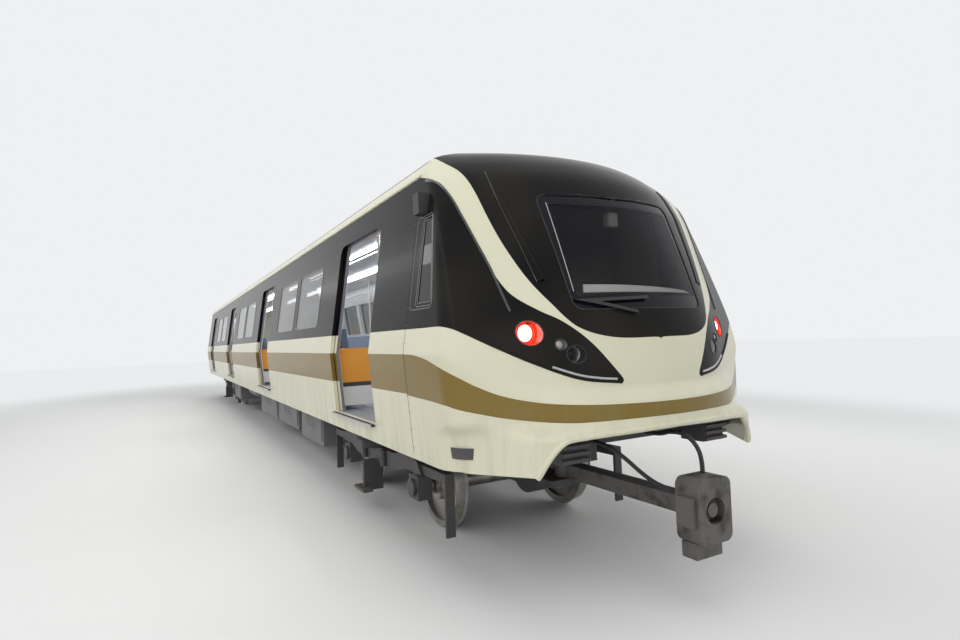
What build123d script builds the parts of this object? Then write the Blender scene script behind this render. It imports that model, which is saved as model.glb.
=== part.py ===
"""One car of a metro train: the cab car, with its doors, bogies and coupler, in millimetres.

The car stands along X with its cab towards +X, its platform side towards -Y, and z = 0 at the
tips of the wheel flanges. Every size is at the top, and every piece takes its place from there.
"""
from build123d import *
from math import cos, pi, radians, sin, tan
import os

# Body shell
rear_wall_x = -11300         # outer face of the end wall
cab_seam_x = 10000           # joint between the saloon body and the cab mask
foot_height = 950            # lower edge of the side walls
waist_height = 1800          # widest line of the body
waist_half_width = 1550
lower_lean = 0.0836          # how far the side leans in, per unit of height, below the waist
upper_lean = 0.1463          # and above the waist
cantrail_height = 3270       # joint between side wall and roof
eave_height = 3392           # where side and roof would meet without the rounded cantrail
roof_height = 3720
aisle_half = 1100            # half of the saloon that no wall reaches into
cantrail_radius = 260
skin = 40                    # outer wall, with its stiffeners
lining_inset = 86            # outer face of the lining, measured in from the outer skin
lining_thickness = 25
ceiling_height = 3315

# Floor and underframe
floor_height = 1130
floor_thickness = 80
sill_depth = 70              # longitudinal beams below the floor
sill_width = 150
bolster_length = 900

# Doorways
door_pitch = 5860
first_door_x = 8400
door_count = 4
doorway_width = 1400
doorway_top = 3030
doorway_corner = 110
leaf_inset = 48              # outer face of a leaf, measured in from the outer skin
leaf_thickness = 32
leaf_width = 720
leaf_foot_gap = 5            # above the sill
leaf_height = 1925
leaf_meeting_gap = 3         # from the doorway's centre to a closed leaf
leaf_travel = 600
leaf_window_width = 460
leaf_window_low = 2110
leaf_window_high = 2860
runner_gap = 0.3             # between a leaf's top and the rail that it hangs from
runner_height = 45
sill_plate_depth = 60
sill_plate_height = 22

# Saloon windows, two in each bay between doorways
window_width = 1350
window_pillar = 200
window_low = 2135
window_high = 2900
window_corner = 90
frame_width = 30
glass_thickness = 12
glass_inset = 4
glass_gap = 0.3

# Cab mask: height, nose_x of the upper shell on the centre line
NOSE_LEVELS = [
    (1300, 11330),
    (1560, 11330),
    (1800, 11299),
    (1870, 11285),
    (2040, 11235),
    (2200, 11178),
    (2560, 11038),
    (2915, 10882),
    (3060, 10800),
    (3200, 10700),
    (3320, 10570),
    (3400, 10460),
    (3490, 10300),
    (3560, 10100),
    (3620, 9860),
    (3680, 9420),
    (3720, 8950),
    (3770, 8100),
]
nose_radius = 1900           # front of the mask seen from above
nose_angle = 26.57           # half of the arc, beyond which the flanks run straight
# Bumper shell: height, nose_x on the centre line
BUMPER_LEVELS = [
    (850, 11380),
    (1200, 11400),
    (1310, 11430),
    (1800, 11430),
    (1900, 11430),
]
bumper_radius = 1700
bumper_angle = 34.0
mask_half_width = 1700       # wider than the body, which trims the mask
mask_overlap_x = 7000        # where the mask's solids start, well inside the body
crease_radius = 260          # soft edge between the mask's flanks and the side
crease_top = 3210            # above it the crease runs out into the cantrail
side_margin = 2              # the mask's solids stand this far outside the side that trims them

# Mask seen from the front: (y, z) on the +Y half, as arcs through three points
HOOD_ARCS = [
    ((1170, 3320), (1085, 2994), (1008, 2594)),
    ((1008, 2594), (865, 2239), (656, 1958)),
    ((656, 1958), (407, 1877), (0, 1865)),
]
WING_ARCS = [
    ((1345, 3235), (1288, 3098), (1256, 2927)),
    ((1256, 2927), (1199, 2638), (1116, 2354)),
    ((1116, 2354), (974, 2149), (755, 2003)),
    ((755, 2003), (599, 1857), (399, 1595)),
    ((399, 1595), (385, 1562), (410, 1545)),
    ((410, 1545), (699, 1587), (979, 1704)),
    ((979, 1704), (1253, 1852), (1510, 2000)),
]
# Bumper band seen from the side: (x, z) of its upper and lower edges
BELT_TOP = [(10000, 1800), (10140, 1800), (10430, 1765), (10746, 1674), (10850, 1582),
            (10935, 1514), (11024, 1473), (11113, 1444), (11267, 1420), (11430, 1410)]
BELT_FOOT = [(11430, 1310), (11246, 1300), (11143, 1310), (11021, 1330), (10882, 1376),
             (10711, 1433), (10000, 1465)]
# Opening for the coupler seen from the front: (y, z) on the +Y half
COUPLER_OPENING = [(0, 1240), (511, 1208), (715, 1189), (800, 1175), (850, 1144), (936, 1029),
                   (990, 890)]
opening_lip = 45             # rolled edge round the opening
lip_proud = 12

# Windscreen seen from the front: half width at its foot and its top
windscreen_foot = 2085
windscreen_head = 3010
windscreen_foot_half = 655
windscreen_head_half = 690
windscreen_corner = 60

# Cab side window
cab_window_low = 2200
cab_window_high = 2850
cab_window_rear_x = 10200
cab_window_front_x = 10450
cab_window_corner = 25
cab_window_frame = 30        # raised frame round the cab side window
trim_proud = 4               # how far frames and lamp bezels stand out of the mask

# Cab inside
bulkhead_x = 9300
bulkhead_thickness = 40
cab_door_width = 620
cab_door_height = 1900
cab_door_y = -90             # hinge side of the cab door
cab_door_thickness = 30
cab_door_gap = 6
hinge_radius = 14            # knuckles of the cab door, on the saloon's side of the bulkhead
hinge_pin_radius = 7
hinge_length = 70
hinge_x = bulkhead_x - hinge_radius
HINGE_HEIGHTS = [250, 950, 1650]

# Bogies
bogie_x = 7800
wheelbase = 2300
flange_radius = 448
axle_radius = 85
journal_radius = 65
axle_height = flange_radius
bearing_gap = 0.3
frame_beam_y = 1000
frame_beam_width = 150
pivot_radius = 90
pivot_gap = 0.3

# Couplers
coupler_height = 676
coupler_face_x = 11700
coupler_pivot_x = 10050
coupler_pin_radius = 45
rear_face_x = -11700

far_x = 2 * coupler_face_x   # beyond the whole car

# Roof cooling units, set flush into the roof
cooling_length = 2600
cooling_half_width = 780
cooling_depth = 230
cooling_fan_radius = 300
cooling_fan_depth = 90
cooling_gap = 0.3
fan_hub_radius = 70
fan_guard_bar = 14
fan_guard_sink = 30          # below the crown of the roof
COOLING_CENTRES = [4200, -5400]

# Gangway and its bellows
gangway_half_width = 560
gangway_top = 3130
gangway_corner = 100
bellows_wall = 110
bellows_pleats = 6
bellows_frame = 45
bellows_groove = 45

# Gutter along the cantrail
gutter_low = 3278
gutter_height = 16
gutter_proud = 10

# Body and underframe details
floor_front_x = 10880        # end of the cab floor
shank_height = 120
coupler_lug = 60
draught_width = 520          # draught beam that carries the coupler
pivot_depth = 420            # centre pin, down into the bogie's transom
OPEN_SIDE = "right"          # the side that stands at the platform, with its doors open

# Underfloor cases: centre x, centre y, length, width, lower edge
EQUIPMENT_CASES = [
    (4900, 0, 1500, 2300, 380),
    (2900, 690, 1900, 900, 420),
    (2900, -690, 1900, 900, 420),
    (500, 0, 2200, 2200, 360),
    (-2300, 640, 2400, 1000, 430),
    (-4900, 0, 1500, 2300, 380),
]
# Air reservoirs: centre x, centre y, length
AIR_RESERVOIRS = [
    (-2000, -420, 1500),
    (-2000, -950, 1500),
]
reservoir_radius = 190
reservoir_drop = 60
reservoir_strap = 50
reservoir_dome = 80
lid_margin = 70              # raised lids on the sides of the cases
lid_proud = 15
lid_slots = 5
lid_slot_height = 16
lid_slot_pitch = 45

# Cab furniture
seat_x = 9950
seat_y = 0
seat_height = 460
desk_half_width = 1000
DESK_PROFILE = [(10300, floor_height), (10300, 1830), (10380, 1900), (10660, 1900), (10700, 2020),
                (10820, 2020), (10850, floor_height)]
shelf_top = 2020             # shelf between the desk and the foot of the windscreen
shelf_thickness = 25
DESK_SCREENS = [-560, -220, 220, 560]
desk_screen_width = 260
desk_screen_height = 190
lever_x = 10400
lever_height = 150
desk_knee_x = 10400
desk_knee_length = 400
desk_knee_width = 620
desk_knee_height = 640

# Saloon benches: (y, z) of their profile, and the screens at their ends
BENCH_PROFILE = [(1395, 1330), (1395, 1500), (1380, 2080), (1330, 2080), (1290, 1640),
                 (1260, 1590), (960, 1570), (930, 1530), (930, 1490), (1250, 1450), (1300, 1330)]
seats_per_bench = 9
seat_groove_width = 14
seat_groove_depth = 14
screen_gap = 35
screen_thickness = 30
screen_low = 1180
screen_high = 2650
pole_radius = 17
pole_y = 900
rail_height = 3050

# Lamps on the wings: y, z of the centre, radius
LAMPS = [
    (1004, 1928, 62),
    (795, 1832, 34),
    (708, 1765, 56),
]
lamp_sink = 8                # from the shell's face to the lens
lamp_depth = 90
lamp_bezel = 7
# Slim lamps along the lower edges of the wings, seen from the front
LIGHT_BAR = [(870, 1684), (700, 1619), (560, 1592), (440, 1580)]
light_bar_height = 22

# Side cameras
camera_x = 10170
camera_root_y = 1300
camera_face_y = 1465
camera_low = 2910
camera_high = 3080
camera_size = 110

# Couplers
coupler_head_x = 11500
coupler_eye_radius = 110
shank_width = 150
coupler_head_width = 320
coupler_head_height = 440
coupler_head_corner = 60
coupler_cup_radius = 90
coupler_cup_depth = 60
coupler_disc_radius = 48     # lock disc in the middle of the cup
coupler_disc_sink = 22
contact_box_width = 250      # electric contacts below the head
contact_box_height = 110
contact_box_length = 130
head_rib_height = 30
head_rib_width = 26
hose_radius = 17
hose_bend_share = 0.45       # an arc's share of the shorter run beside it
# From the front of the floor slab to the rear and the top of the coupler's head
HOSE_ROUTES = {
    "right": [(10880, -380, 1085), (10975, -380, 1085), (11093, -353, 1053), (11163, -288, 978),
              (11216, -212, 887), (11284, -147, 812), (11400, -120, 780), (11499.7, -120, 780)],
    "left": [(10880, 210, 1085), (10985, 210, 1085), (11090, 175, 1105), (11190, 120, 1135),
             (11295, 75, 1153), (11405, 60, 1156), (11500, 60, 1101), (11555, 60, 1006),
             (11555, 60, 896.3)],
}
rear_eye_radius = 110
rear_eye_bore = 45
rear_bar_width = 150
rear_bar_root_x = -10700
anticlimber_face_x = 11110
anticlimber_y = 720
anticlimber_z = 1065
anticlimber_width = 240
anticlimber_height = 150
anticlimber_ribs = 3
anticlimber_pitch = 50
anticlimber_rib = 40
anticlimber_cap = 60         # rounded top of the block
skirt_side = 500             # length of the skirt's cheeks behind the coupler's opening
screen_reach = 560
WIPER_ROUTE = [(-180, 2060), (-560, 2150), (-40, 2170)]
wiper_half_width = 12
wiper_proud = 30

# Bogie frames: (x, z) of a side beam about the bogie's centre
beam_low = 520
beam_high = 700
beam_end_low = 600
beam_shoulder_x = 1250
BEAM_PROFILE = [(-1350, beam_end_low), (-beam_shoulder_x, 720), (-900, 760), (-600, beam_high),
                (600, beam_high), (900, 760), (beam_shoulder_x, 720), (1350, beam_end_low),
                (950, beam_end_low), (650, beam_low), (-650, beam_low), (-950, beam_end_low)]
axlebox_size = 240
primary_spring_radius = 70
primary_spring_height = 60
bolster_width = 520
spring_top_gap = 5
SPRING_PROFILE = [(0, 0), (230, 0), (230, 0.25), (280, 0.35), (300, 0.6), (280, 0.85), (230, 1),
                  (0, 1)]
shoe_y = 1230
shoe_height = 230
shoe_length = 360
shoe_width = 110
shoe_thickness = 30
shoe_arm = 60
axle_cover_radius = 85
axle_cover_length = 35
guard_x = 1820               # rail guards ahead of the outer wheels, from the bogie's centre
guard_foot = 120
guard_width = 90
guard_thickness = 30
damper_radius = 38
damper_x = 330
disc_y = 495                 # brake disc on each axle
disc_radius = 250
disc_thickness = 40
pad_gap = 12
pad_thickness = 25
pad_reach = 130              # how far the pads overlap the disc
pad_height = 160
caliper_height = 80
motor_offset = 520
motor_y = -230
motor_lift = 60
motor_radius = 215
motor_length = 560
motor_bracket = 120
gear_y = 330
gear_width = 170
gear_radius = 260
gear_case_height = 416

# Wheelsets: (radius, y) of one wheel and of the axle
hub_radius = 95
WHEEL_PROFILE = [(hub_radius, 640), (140, 640), (160, 700), (370, 715), (370, 680), (440, 680),
                 (flange_radius, 692), (440, 704), (425, 712), (420, 810), (365, 810), (365, 760),
                 (175, 745), (150, 830), (hub_radius, 830)]
AXLE_PROFILE = [(0, -1075), (journal_radius, -1075), (journal_radius, -880), (hub_radius, -870),
                (hub_radius, -640), (axle_radius, -630), (axle_radius, 630), (hub_radius, 640),
                (hub_radius, 870), (journal_radius, 880), (journal_radius, 1075), (0, 1075)]

SIDES = [("right", -1), ("left", 1)]
DOOR_CENTRES = [first_door_x - door_pitch * number for number in range(door_count)]
BOGIES = [("front", bogie_x), ("rear", -bogie_x)]

os.makedirs("parts", exist_ok=True)


def finish(piece, name):
    """Label a finished piece and write it to its own file."""
    piece.part.label = name
    export_step(piece.part, f"parts/{name}.step")


def side_y(height):
    """Half width of the body at a height."""
    lean = lower_lean if height < waist_height else upper_lean
    return waist_half_width - lean * abs(height - waist_height)


def cross_section(x, inset=0, low=foot_height, high=None):
    """Cross-section of the body at x, moved in by inset, down to low, with a flat lid at high."""
    eave_y = side_y(eave_height)
    with BuildSketch(Plane.YZ.offset(x)) as section:
        with BuildLine():
            Polyline((side_y(low), low), (waist_half_width, waist_height), (eave_y, eave_height))
            ThreePointArc((eave_y, eave_height), (0, roof_height), (-eave_y, eave_height))
            Polyline((-eave_y, eave_height), (-waist_half_width, waist_height),
                     (-side_y(low), low), (side_y(low), low))
        make_face()
        eaves = section.vertices().filter_by_position(Axis.Y, eave_height - 1, eave_height + 1)
        fillet(eaves, cantrail_radius)
        if inset:
            offset(amount=-inset, kind=Kind.INTERSECTION)
        if high:
            with Locations((0, high + roof_height)):
                Rectangle(4 * waist_half_width, 2 * roof_height, mode=Mode.SUBTRACT)
    return section.sketch


def body_ring(rear_x, front_x, outer, inner):
    """Ring of the body's wall between two insets, open at the foot."""
    with BuildPart() as ring:
        extrude(cross_section(rear_x, outer), amount=front_x - rear_x)
        extrude(cross_section(rear_x, inner, foot_height - 2 * inner), amount=front_x - rear_x,
                mode=Mode.SUBTRACT)
    return ring.part


def plan_outline(height, nose_x, radius, angle, half_width, corner):
    """Outline of the mask seen from above: an arc at the nose, straight flanks, rounded creases."""
    tangent_y = radius * sin(radians(angle))
    tangent_x = nose_x - radius * (1 - cos(radians(angle)))
    flank_x = tangent_x - (half_width - tangent_y) * tan(radians(angle))
    with BuildSketch(Plane.XY.offset(height)) as outline:
        with BuildLine():
            ThreePointArc((tangent_x, -tangent_y), (nose_x, 0), (tangent_x, tangent_y))
            Polyline((tangent_x, tangent_y), (flank_x, half_width),
                     (mask_overlap_x, half_width), (mask_overlap_x, -half_width),
                     (flank_x, -half_width), (tangent_x, -tangent_y))
        make_face()
        creases = outline.vertices().filter_by_position(Axis.X, flank_x - 1, flank_x + 1)
        fillet(creases, corner)
    return outline.sketch


def mask_loft(levels, radius, angle, inset):
    """Solid of the mask's front, lofted level by level and moved in by inset."""
    outlines = []
    for number, (height, nose_x) in enumerate(levels):
        below = levels[max(number - 1, 0)]
        above = levels[min(number + 1, len(levels) - 1)]
        rise = above[0] - below[0]
        setback = below[1] - above[1]
        length = (rise ** 2 + setback ** 2) ** 0.5
        inner_height = height - inset * setback / length
        inner_nose_x = nose_x - inset * rise / length
        half_width = mask_half_width
        if height < crease_top:
            half_width = side_y(inner_height) - inset + side_margin
        outlines.append(plan_outline(inner_height, inner_nose_x, radius - inset * rise / length,
                                     angle, half_width, crease_radius - inset))
    with BuildPart() as solid:
        loft(outlines, ruled=True)
    return solid.part


def mask_solid(levels, radius, angle, inset):
    """Solid of the mask, trimmed to the body's cross-section."""
    with BuildPart() as solid:
        add(mask_loft(levels, radius, angle, inset))
        body = cross_section(mask_overlap_x, inset, foot_height - inset - max(inset, 0))
        extrude(body, amount=levels[0][1] + nose_radius - mask_overlap_x, mode=Mode.INTERSECT)
    return solid.part


def side_block(points):
    """Block across the car whose outline is drawn in side view."""
    with BuildPart() as block:
        with BuildSketch(Plane.XZ):
            with BuildLine():
                Polyline(*points, close=True)
            make_face()
        extrude(amount=mask_half_width, both=True)
    return block.part


def window_cutter(centre_x, width, low, high, corner, side, grow=0):
    """Block along Y through one side wall for a window with rounded corners."""
    with BuildPart() as cutter:
        with BuildSketch(Plane.XZ.offset(-side * aisle_half)):
            with Locations((centre_x, (low + high) / 2)):
                RectangleRounded(width + 2 * grow, high - low + 2 * grow, corner + grow)
        extrude(amount=-side * aisle_half)
    return cutter.part


def doorway_cutter(centre_x, side):
    """Block along Y through one side wall for a doorway with rounded upper corners."""
    with BuildPart() as cutter:
        with BuildSketch(Plane.XZ.offset(-side * aisle_half)) as outline:
            with Locations((centre_x, (floor_height + doorway_top) / 2)):
                Rectangle(doorway_width, doorway_top - floor_height)
            fillet(outline.vertices().group_by(Axis.Y)[-1], doorway_corner)
        extrude(amount=-side * aisle_half)
    return cutter.part


def screen_block(gap):
    """Block along X for the windscreen's opening, or less a gap for its glass."""
    with BuildPart() as block:
        with BuildSketch(Plane.YZ.offset(cab_seam_x)) as outline:
            with BuildLine():
                Polyline((-windscreen_foot_half, windscreen_foot),
                         (windscreen_foot_half, windscreen_foot),
                         (windscreen_head_half, windscreen_head),
                         (-windscreen_head_half, windscreen_head), close=True)
            make_face()
            fillet(outline.vertices(), windscreen_corner)
            if gap:
                offset(amount=-gap)
        extrude(amount=far_x)
    return block.part


def cab_window_block(gap):
    """Block across the car for the cab's side windows, or less a gap for their glass."""
    with BuildPart() as block:
        with BuildSketch(Plane.XZ):
            with Locations(((cab_window_rear_x + cab_window_front_x) / 2,
                            (cab_window_low + cab_window_high) / 2)):
                RectangleRounded(cab_window_front_x - cab_window_rear_x - 2 * gap,
                                 cab_window_high - cab_window_low - 2 * gap,
                                 cab_window_corner - gap)
        extrude(amount=far_x, both=True)
    return block.part


def lamp_rods(gap):
    """Rods along X at the lamps' places, wider than the lamps by a gap."""
    with BuildPart() as rods:
        for side_name, side in SIDES:
            for y, z, radius in LAMPS:
                with Locations(Location((cab_seam_x + nose_radius / 2, side * y, z), (0, 90, 0))):
                    Cylinder(radius + gap, nose_radius)
    return rods.part


def bar_block(gap):
    """Blocks along X for the slim lamps, higher by a gap."""
    with BuildPart() as block:
        with BuildSketch(Plane.YZ.offset(cab_seam_x)):
            with BuildLine():
                Polyline(*LIGHT_BAR)
            trace(line_width=light_bar_height + 2 * gap)
            mirror(about=Plane.YZ)
        extrude(amount=far_x)
    return block.part


def opening_block(grow):
    """Block along X for the coupler's opening, grown all round."""
    with BuildPart() as block:
        with BuildSketch(Plane.YZ.offset(cab_seam_x + skirt_side)):
            with BuildLine():
                Polyline(*COUPLER_OPENING, (0, COUPLER_OPENING[-1][1]), close=True)
            make_face()
            mirror(about=Plane.YZ)
            if grow:
                offset(amount=grow)
        extrude(amount=far_x)
    return block.part


def within(shape, low, high):
    """Stretch of a shape inside a box given by two opposite corners."""
    with BuildPart() as piece:
        add(shape)
        middle = [(a + b) / 2 for a, b in zip(low, high)]
        size = [abs(b - a) for a, b in zip(low, high)]
        with Locations(tuple(middle)):
            Box(*size, mode=Mode.INTERSECT)
    return piece.part


def common(shape, block):
    """What a shape and a block share."""
    with BuildPart() as piece:
        add(shape)
        add(block, mode=Mode.INTERSECT)
    return piece.part


def front_region(arcs, closing):
    """Block along X whose outline is drawn as seen from the front, on both halves."""
    with BuildPart() as region:
        with BuildSketch(Plane.YZ.offset(cab_seam_x - skin)):
            with BuildLine():
                for first, middle, last in arcs:
                    ThreePointArc(first, middle, last)
                Polyline(*closing)
            make_face()
            mirror(about=Plane.YZ)
        extrude(amount=far_x)
    return region.part


def mask_panel(outer, inner):
    """Shell of the mask ahead of its joint with the body."""
    with BuildPart() as panel:
        add(outer)
        add(inner, mode=Mode.SUBTRACT)
        with Locations((cab_seam_x + far_x / 2, 0, 0)):
            Box(far_x, far_x, 2 * far_x, mode=Mode.INTERSECT)
    return panel.part


# Places of the saloon windows, the same on both sides
WINDOW_CENTRES = []
for centre in DOOR_CENTRES[:-1]:
    bay_centre = centre - door_pitch / 2
    WINDOW_CENTRES.append(bay_centre + (window_width + window_pillar) / 2)
    WINDOW_CENTRES.append(bay_centre - (window_width + window_pillar) / 2)

window_cutters = {}
door_cutters = {}
for side_name, side in SIDES:
    window_cutters[side] = [
        window_cutter(x, window_width, window_low, window_high, window_corner, side)
        for x in WINDOW_CENTRES
    ]
    door_cutters[side] = [doorway_cutter(x, side) for x in DOOR_CENTRES]


wall_ring = body_ring(rear_wall_x + skin, cab_seam_x, 0, skin)
nose_outer = mask_solid(NOSE_LEVELS, nose_radius, nose_angle, 0)
nose_inner = mask_solid(NOSE_LEVELS, nose_radius, nose_angle, skin)
bumper_outer = mask_solid(BUMPER_LEVELS, bumper_radius, bumper_angle, 0)
bumper_inner = mask_solid(BUMPER_LEVELS, bumper_radius, bumper_angle, skin)

# Side walls, with their doorways, windows and the rails that the leaves hang from
runner_low = floor_height + leaf_foot_gap + leaf_height + runner_gap
runner_half = leaf_travel + leaf_width + runner_height
runner_ring = body_ring(rear_wall_x + skin, cab_seam_x, skin, leaf_inset + leaf_thickness)
for side_name, side in SIDES:
    inner_y = side * aisle_half
    outer_y = side * 2 * waist_half_width
    with BuildPart() as side_wall:
        add(within(wall_ring, (rear_wall_x, inner_y, 0), (cab_seam_x, outer_y, cantrail_height)))
        for cutter in door_cutters[side] + window_cutters[side]:
            add(cutter, mode=Mode.SUBTRACT)
        for centre in DOOR_CENTRES:
            add(within(runner_ring, (centre - runner_half, inner_y, runner_low),
                       (centre + runner_half, outer_y, runner_low + runner_height)))
    finish(side_wall, f"side_wall_{side_name}")

# Roof, which dips towards the nose, with wells for the two cooling units
with BuildPart() as roof_shell:
    add(within(wall_ring, (rear_wall_x, -far_x, cantrail_height), (mask_overlap_x, far_x, far_x)))
    add(within(nose_outer, (mask_overlap_x, -far_x, cantrail_height), (cab_seam_x, far_x, far_x)))
    add(within(nose_inner, (mask_overlap_x, -far_x, 0), (cab_seam_x, far_x, far_x)),
        mode=Mode.SUBTRACT)
    with Locations(*[(x, 0, roof_height) for x in COOLING_CENTRES]):
        Box(cooling_length, 2 * cooling_half_width, 2 * cooling_depth, mode=Mode.SUBTRACT)
    gutter_ring = body_ring(rear_wall_x + skin, cab_seam_x, -gutter_proud, 0)
    for side_name, side in SIDES:
        add(within(gutter_ring, (rear_wall_x, 0, gutter_low),
                   (cab_seam_x, side * far_x, gutter_low + gutter_height)))
finish(roof_shell, "roof_shell")

# Cooling units with two fan wells each
with BuildPart() as cooling_units:
    extrude(cross_section(rear_wall_x), amount=mask_overlap_x - rear_wall_x)
    with Locations(*[(x, 0, roof_height) for x in COOLING_CENTRES]):
        Box(cooling_length - 2 * cooling_gap, 2 * (cooling_half_width - cooling_gap),
            2 * cooling_depth, mode=Mode.INTERSECT)
    fan_places = [(x + end * cooling_length / 4, 0, roof_height)
                  for x in COOLING_CENTRES for end in (-1, 1)]
    with Locations(*fan_places):
        Cylinder(cooling_fan_radius, 2 * cooling_fan_depth, mode=Mode.SUBTRACT)
        with Locations((0, 0, -fan_guard_sink - cooling_fan_depth / 2)):
            Cylinder(fan_hub_radius, cooling_fan_depth)
        with Locations((0, 0, -fan_guard_sink)):
            Box(2 * cooling_fan_radius, fan_guard_bar, fan_guard_bar)
            Box(fan_guard_bar, 2 * cooling_fan_radius, fan_guard_bar)
finish(cooling_units, "cooling_units")

# End wall with the gangway's opening
gangway_height = gangway_top - floor_height
gangway_middle = (floor_height + gangway_top) / 2
with BuildPart() as end_wall:
    extrude(cross_section(rear_wall_x), amount=skin)
    with BuildSketch(Plane.YZ.offset(rear_wall_x)) as opening:
        with Locations((0, gangway_middle)):
            Rectangle(2 * gangway_half_width, gangway_height)
        fillet(opening.vertices().group_by(Axis.Y)[-1], gangway_corner)
    extrude(amount=skin, mode=Mode.SUBTRACT)
finish(end_wall, "end_wall")


def gangway_outline(x, grow):
    """Rounded outline of the gangway at x, grown all round."""
    with BuildSketch(Plane.YZ.offset(x)) as outline:
        with Locations((0, gangway_middle)):
            RectangleRounded(2 * (gangway_half_width + grow), gangway_height + 2 * grow,
                             gangway_corner + grow)
    return outline.sketch


# Gangway bellows: a pleated tunnel with a face frame at each end
bellows_length = rear_wall_x - rear_face_x
pleat_pitch = (bellows_length - 2 * bellows_frame) / bellows_pleats
with BuildPart() as gangway_bellows:
    for x in (rear_face_x, rear_wall_x - bellows_frame):
        extrude(gangway_outline(x, bellows_wall), amount=bellows_frame)
    extrude(gangway_outline(rear_face_x, bellows_wall - bellows_groove), amount=bellows_length)
    for number in range(bellows_pleats):
        pleat_x = rear_face_x + bellows_frame + (number + 0.25) * pleat_pitch
        extrude(gangway_outline(pleat_x, bellows_wall), amount=pleat_pitch / 2)
    extrude(gangway_outline(rear_face_x, 0), amount=bellows_length, mode=Mode.SUBTRACT)
finish(gangway_bellows, "gangway_bellows")

# Floor: slab, longitudinal sills, bolsters with the bogie pivots, and the coupler's pin
slab_low = floor_height - floor_thickness
slab_rear_x = rear_wall_x + skin
sill_y = side_y(foot_height) - skin - sill_width
lug_low = coupler_height - shank_height / 2 - pivot_gap - coupler_lug
with BuildPart() as floor:
    extrude(cross_section(slab_rear_x, skin, foot_height - 2 * skin),
            amount=cab_seam_x - slab_rear_x)
    add(within(bumper_inner, (cab_seam_x, -far_x, slab_low), (floor_front_x, far_x, floor_height)))
    with Locations(((slab_rear_x + floor_front_x) / 2, 0, (slab_low + floor_height) / 2)):
        Box(floor_front_x - slab_rear_x, far_x, floor_thickness, mode=Mode.INTERSECT)
    sill_middle_x = (slab_rear_x + cab_seam_x) / 2
    with Locations((sill_middle_x, sill_y, slab_low - sill_depth / 2),
                   (sill_middle_x, -sill_y, slab_low - sill_depth / 2)):
        Box(cab_seam_x - slab_rear_x, sill_width, sill_depth)
    with Locations(*[(x, 0, slab_low - sill_depth / 2) for name, x in BOGIES]):
        Box(bolster_length, 2 * sill_y, sill_depth)
    with Locations(*[(x, 0, slab_low - sill_depth - pivot_depth / 2) for name, x in BOGIES]):
        Cylinder(pivot_radius, pivot_depth)
    with Locations((coupler_pivot_x - draught_width / 4, 0, (slab_low + lug_low) / 2)):
        Box(draught_width, draught_width, slab_low - lug_low)
    with Locations((coupler_pivot_x + draught_width / 4, 0, coupler_height)):
        Box(draught_width, 2 * draught_width, shank_height + 2 * pivot_gap, mode=Mode.SUBTRACT)
    with Locations((coupler_pivot_x, 0, coupler_height)):
        Cylinder(coupler_pin_radius, shank_height + 2 * pivot_gap)
finish(floor, "floor")


def reservoir(length):
    """Air reservoir along X with rounded ends, centred on the origin."""
    with BuildPart() as tank:
        with Locations(Location((0, 0, 0), (0, 90, 0))):
            Cylinder(reservoir_radius, length)
        fillet(tank.edges().filter_by(GeomType.CIRCLE), reservoir_dome)
    return tank.part


# Underfloor equipment: cases and air reservoirs hung below the slab between the bogies
with BuildPart() as underfloor_equipment:
    for x, y, length, width, low in EQUIPMENT_CASES:
        case_middle = (low + slab_low) / 2
        with Locations((x, y, case_middle)):
            Box(length, width, slab_low - low)
            Box(length - 2 * lid_margin, width + 2 * lid_proud, slab_low - low - 2 * lid_margin)
        slot_places = []
        for number in range(lid_slots):
            slot_z = case_middle + (number - (lid_slots - 1) / 2) * lid_slot_pitch
            slot_places += [(x, y + side * (width / 2 + lid_proud), slot_z) for name, side in SIDES]
        with Locations(*slot_places):
            Box(length / 3, lid_proud, lid_slot_height, mode=Mode.SUBTRACT)
    for x, y, length in AIR_RESERVOIRS:
        tank = reservoir(length)
        tank.position = (x, y, slab_low - reservoir_radius - reservoir_drop)
        add(tank)
        for end in (-1, 1):
            with Locations((x + end * length / 3, y, slab_low - reservoir_drop)):
                Box(reservoir_strap, 2 * reservoir_radius, 2 * reservoir_drop)
finish(underfloor_equipment, "underfloor_equipment")

# Saloon lining with the same doorways, and windows framed back to the outer skin
lining_low = foot_height - 2 * lining_inset
with BuildPart() as lining:
    extrude(cross_section(slab_rear_x, lining_inset, lining_low, ceiling_height + lining_thickness),
            amount=cab_seam_x - slab_rear_x)
    extrude(cross_section(slab_rear_x, lining_inset + lining_thickness, lining_low, ceiling_height),
            amount=cab_seam_x - slab_rear_x, mode=Mode.SUBTRACT)
    with Locations(((slab_rear_x + cab_seam_x) / 2, 0, floor_height + roof_height / 2)):
        Box(cab_seam_x - slab_rear_x, far_x, roof_height, mode=Mode.INTERSECT)
    frame_ring = body_ring(slab_rear_x, cab_seam_x, skin, lining_inset)
    for side_name, side in SIDES:
        for x in WINDOW_CENTRES:
            block = window_cutter(x, window_width, window_low, window_high, window_corner, side,
                                  frame_width)
            add(common(frame_ring, block))
        for cutter in door_cutters[side] + window_cutters[side]:
            add(cutter, mode=Mode.SUBTRACT)
finish(lining, "lining")

# Glass of the saloon windows, set in the outer skin
glass_ring = body_ring(slab_rear_x, cab_seam_x, glass_inset, glass_inset + glass_thickness)
with BuildPart() as saloon_windows:
    for side_name, side in SIDES:
        for x in WINDOW_CENTRES:
            add(common(glass_ring, window_cutter(x, window_width, window_low, window_high,
                                                 window_corner, side, -glass_gap)))
finish(saloon_windows, "saloon_windows")

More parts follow.
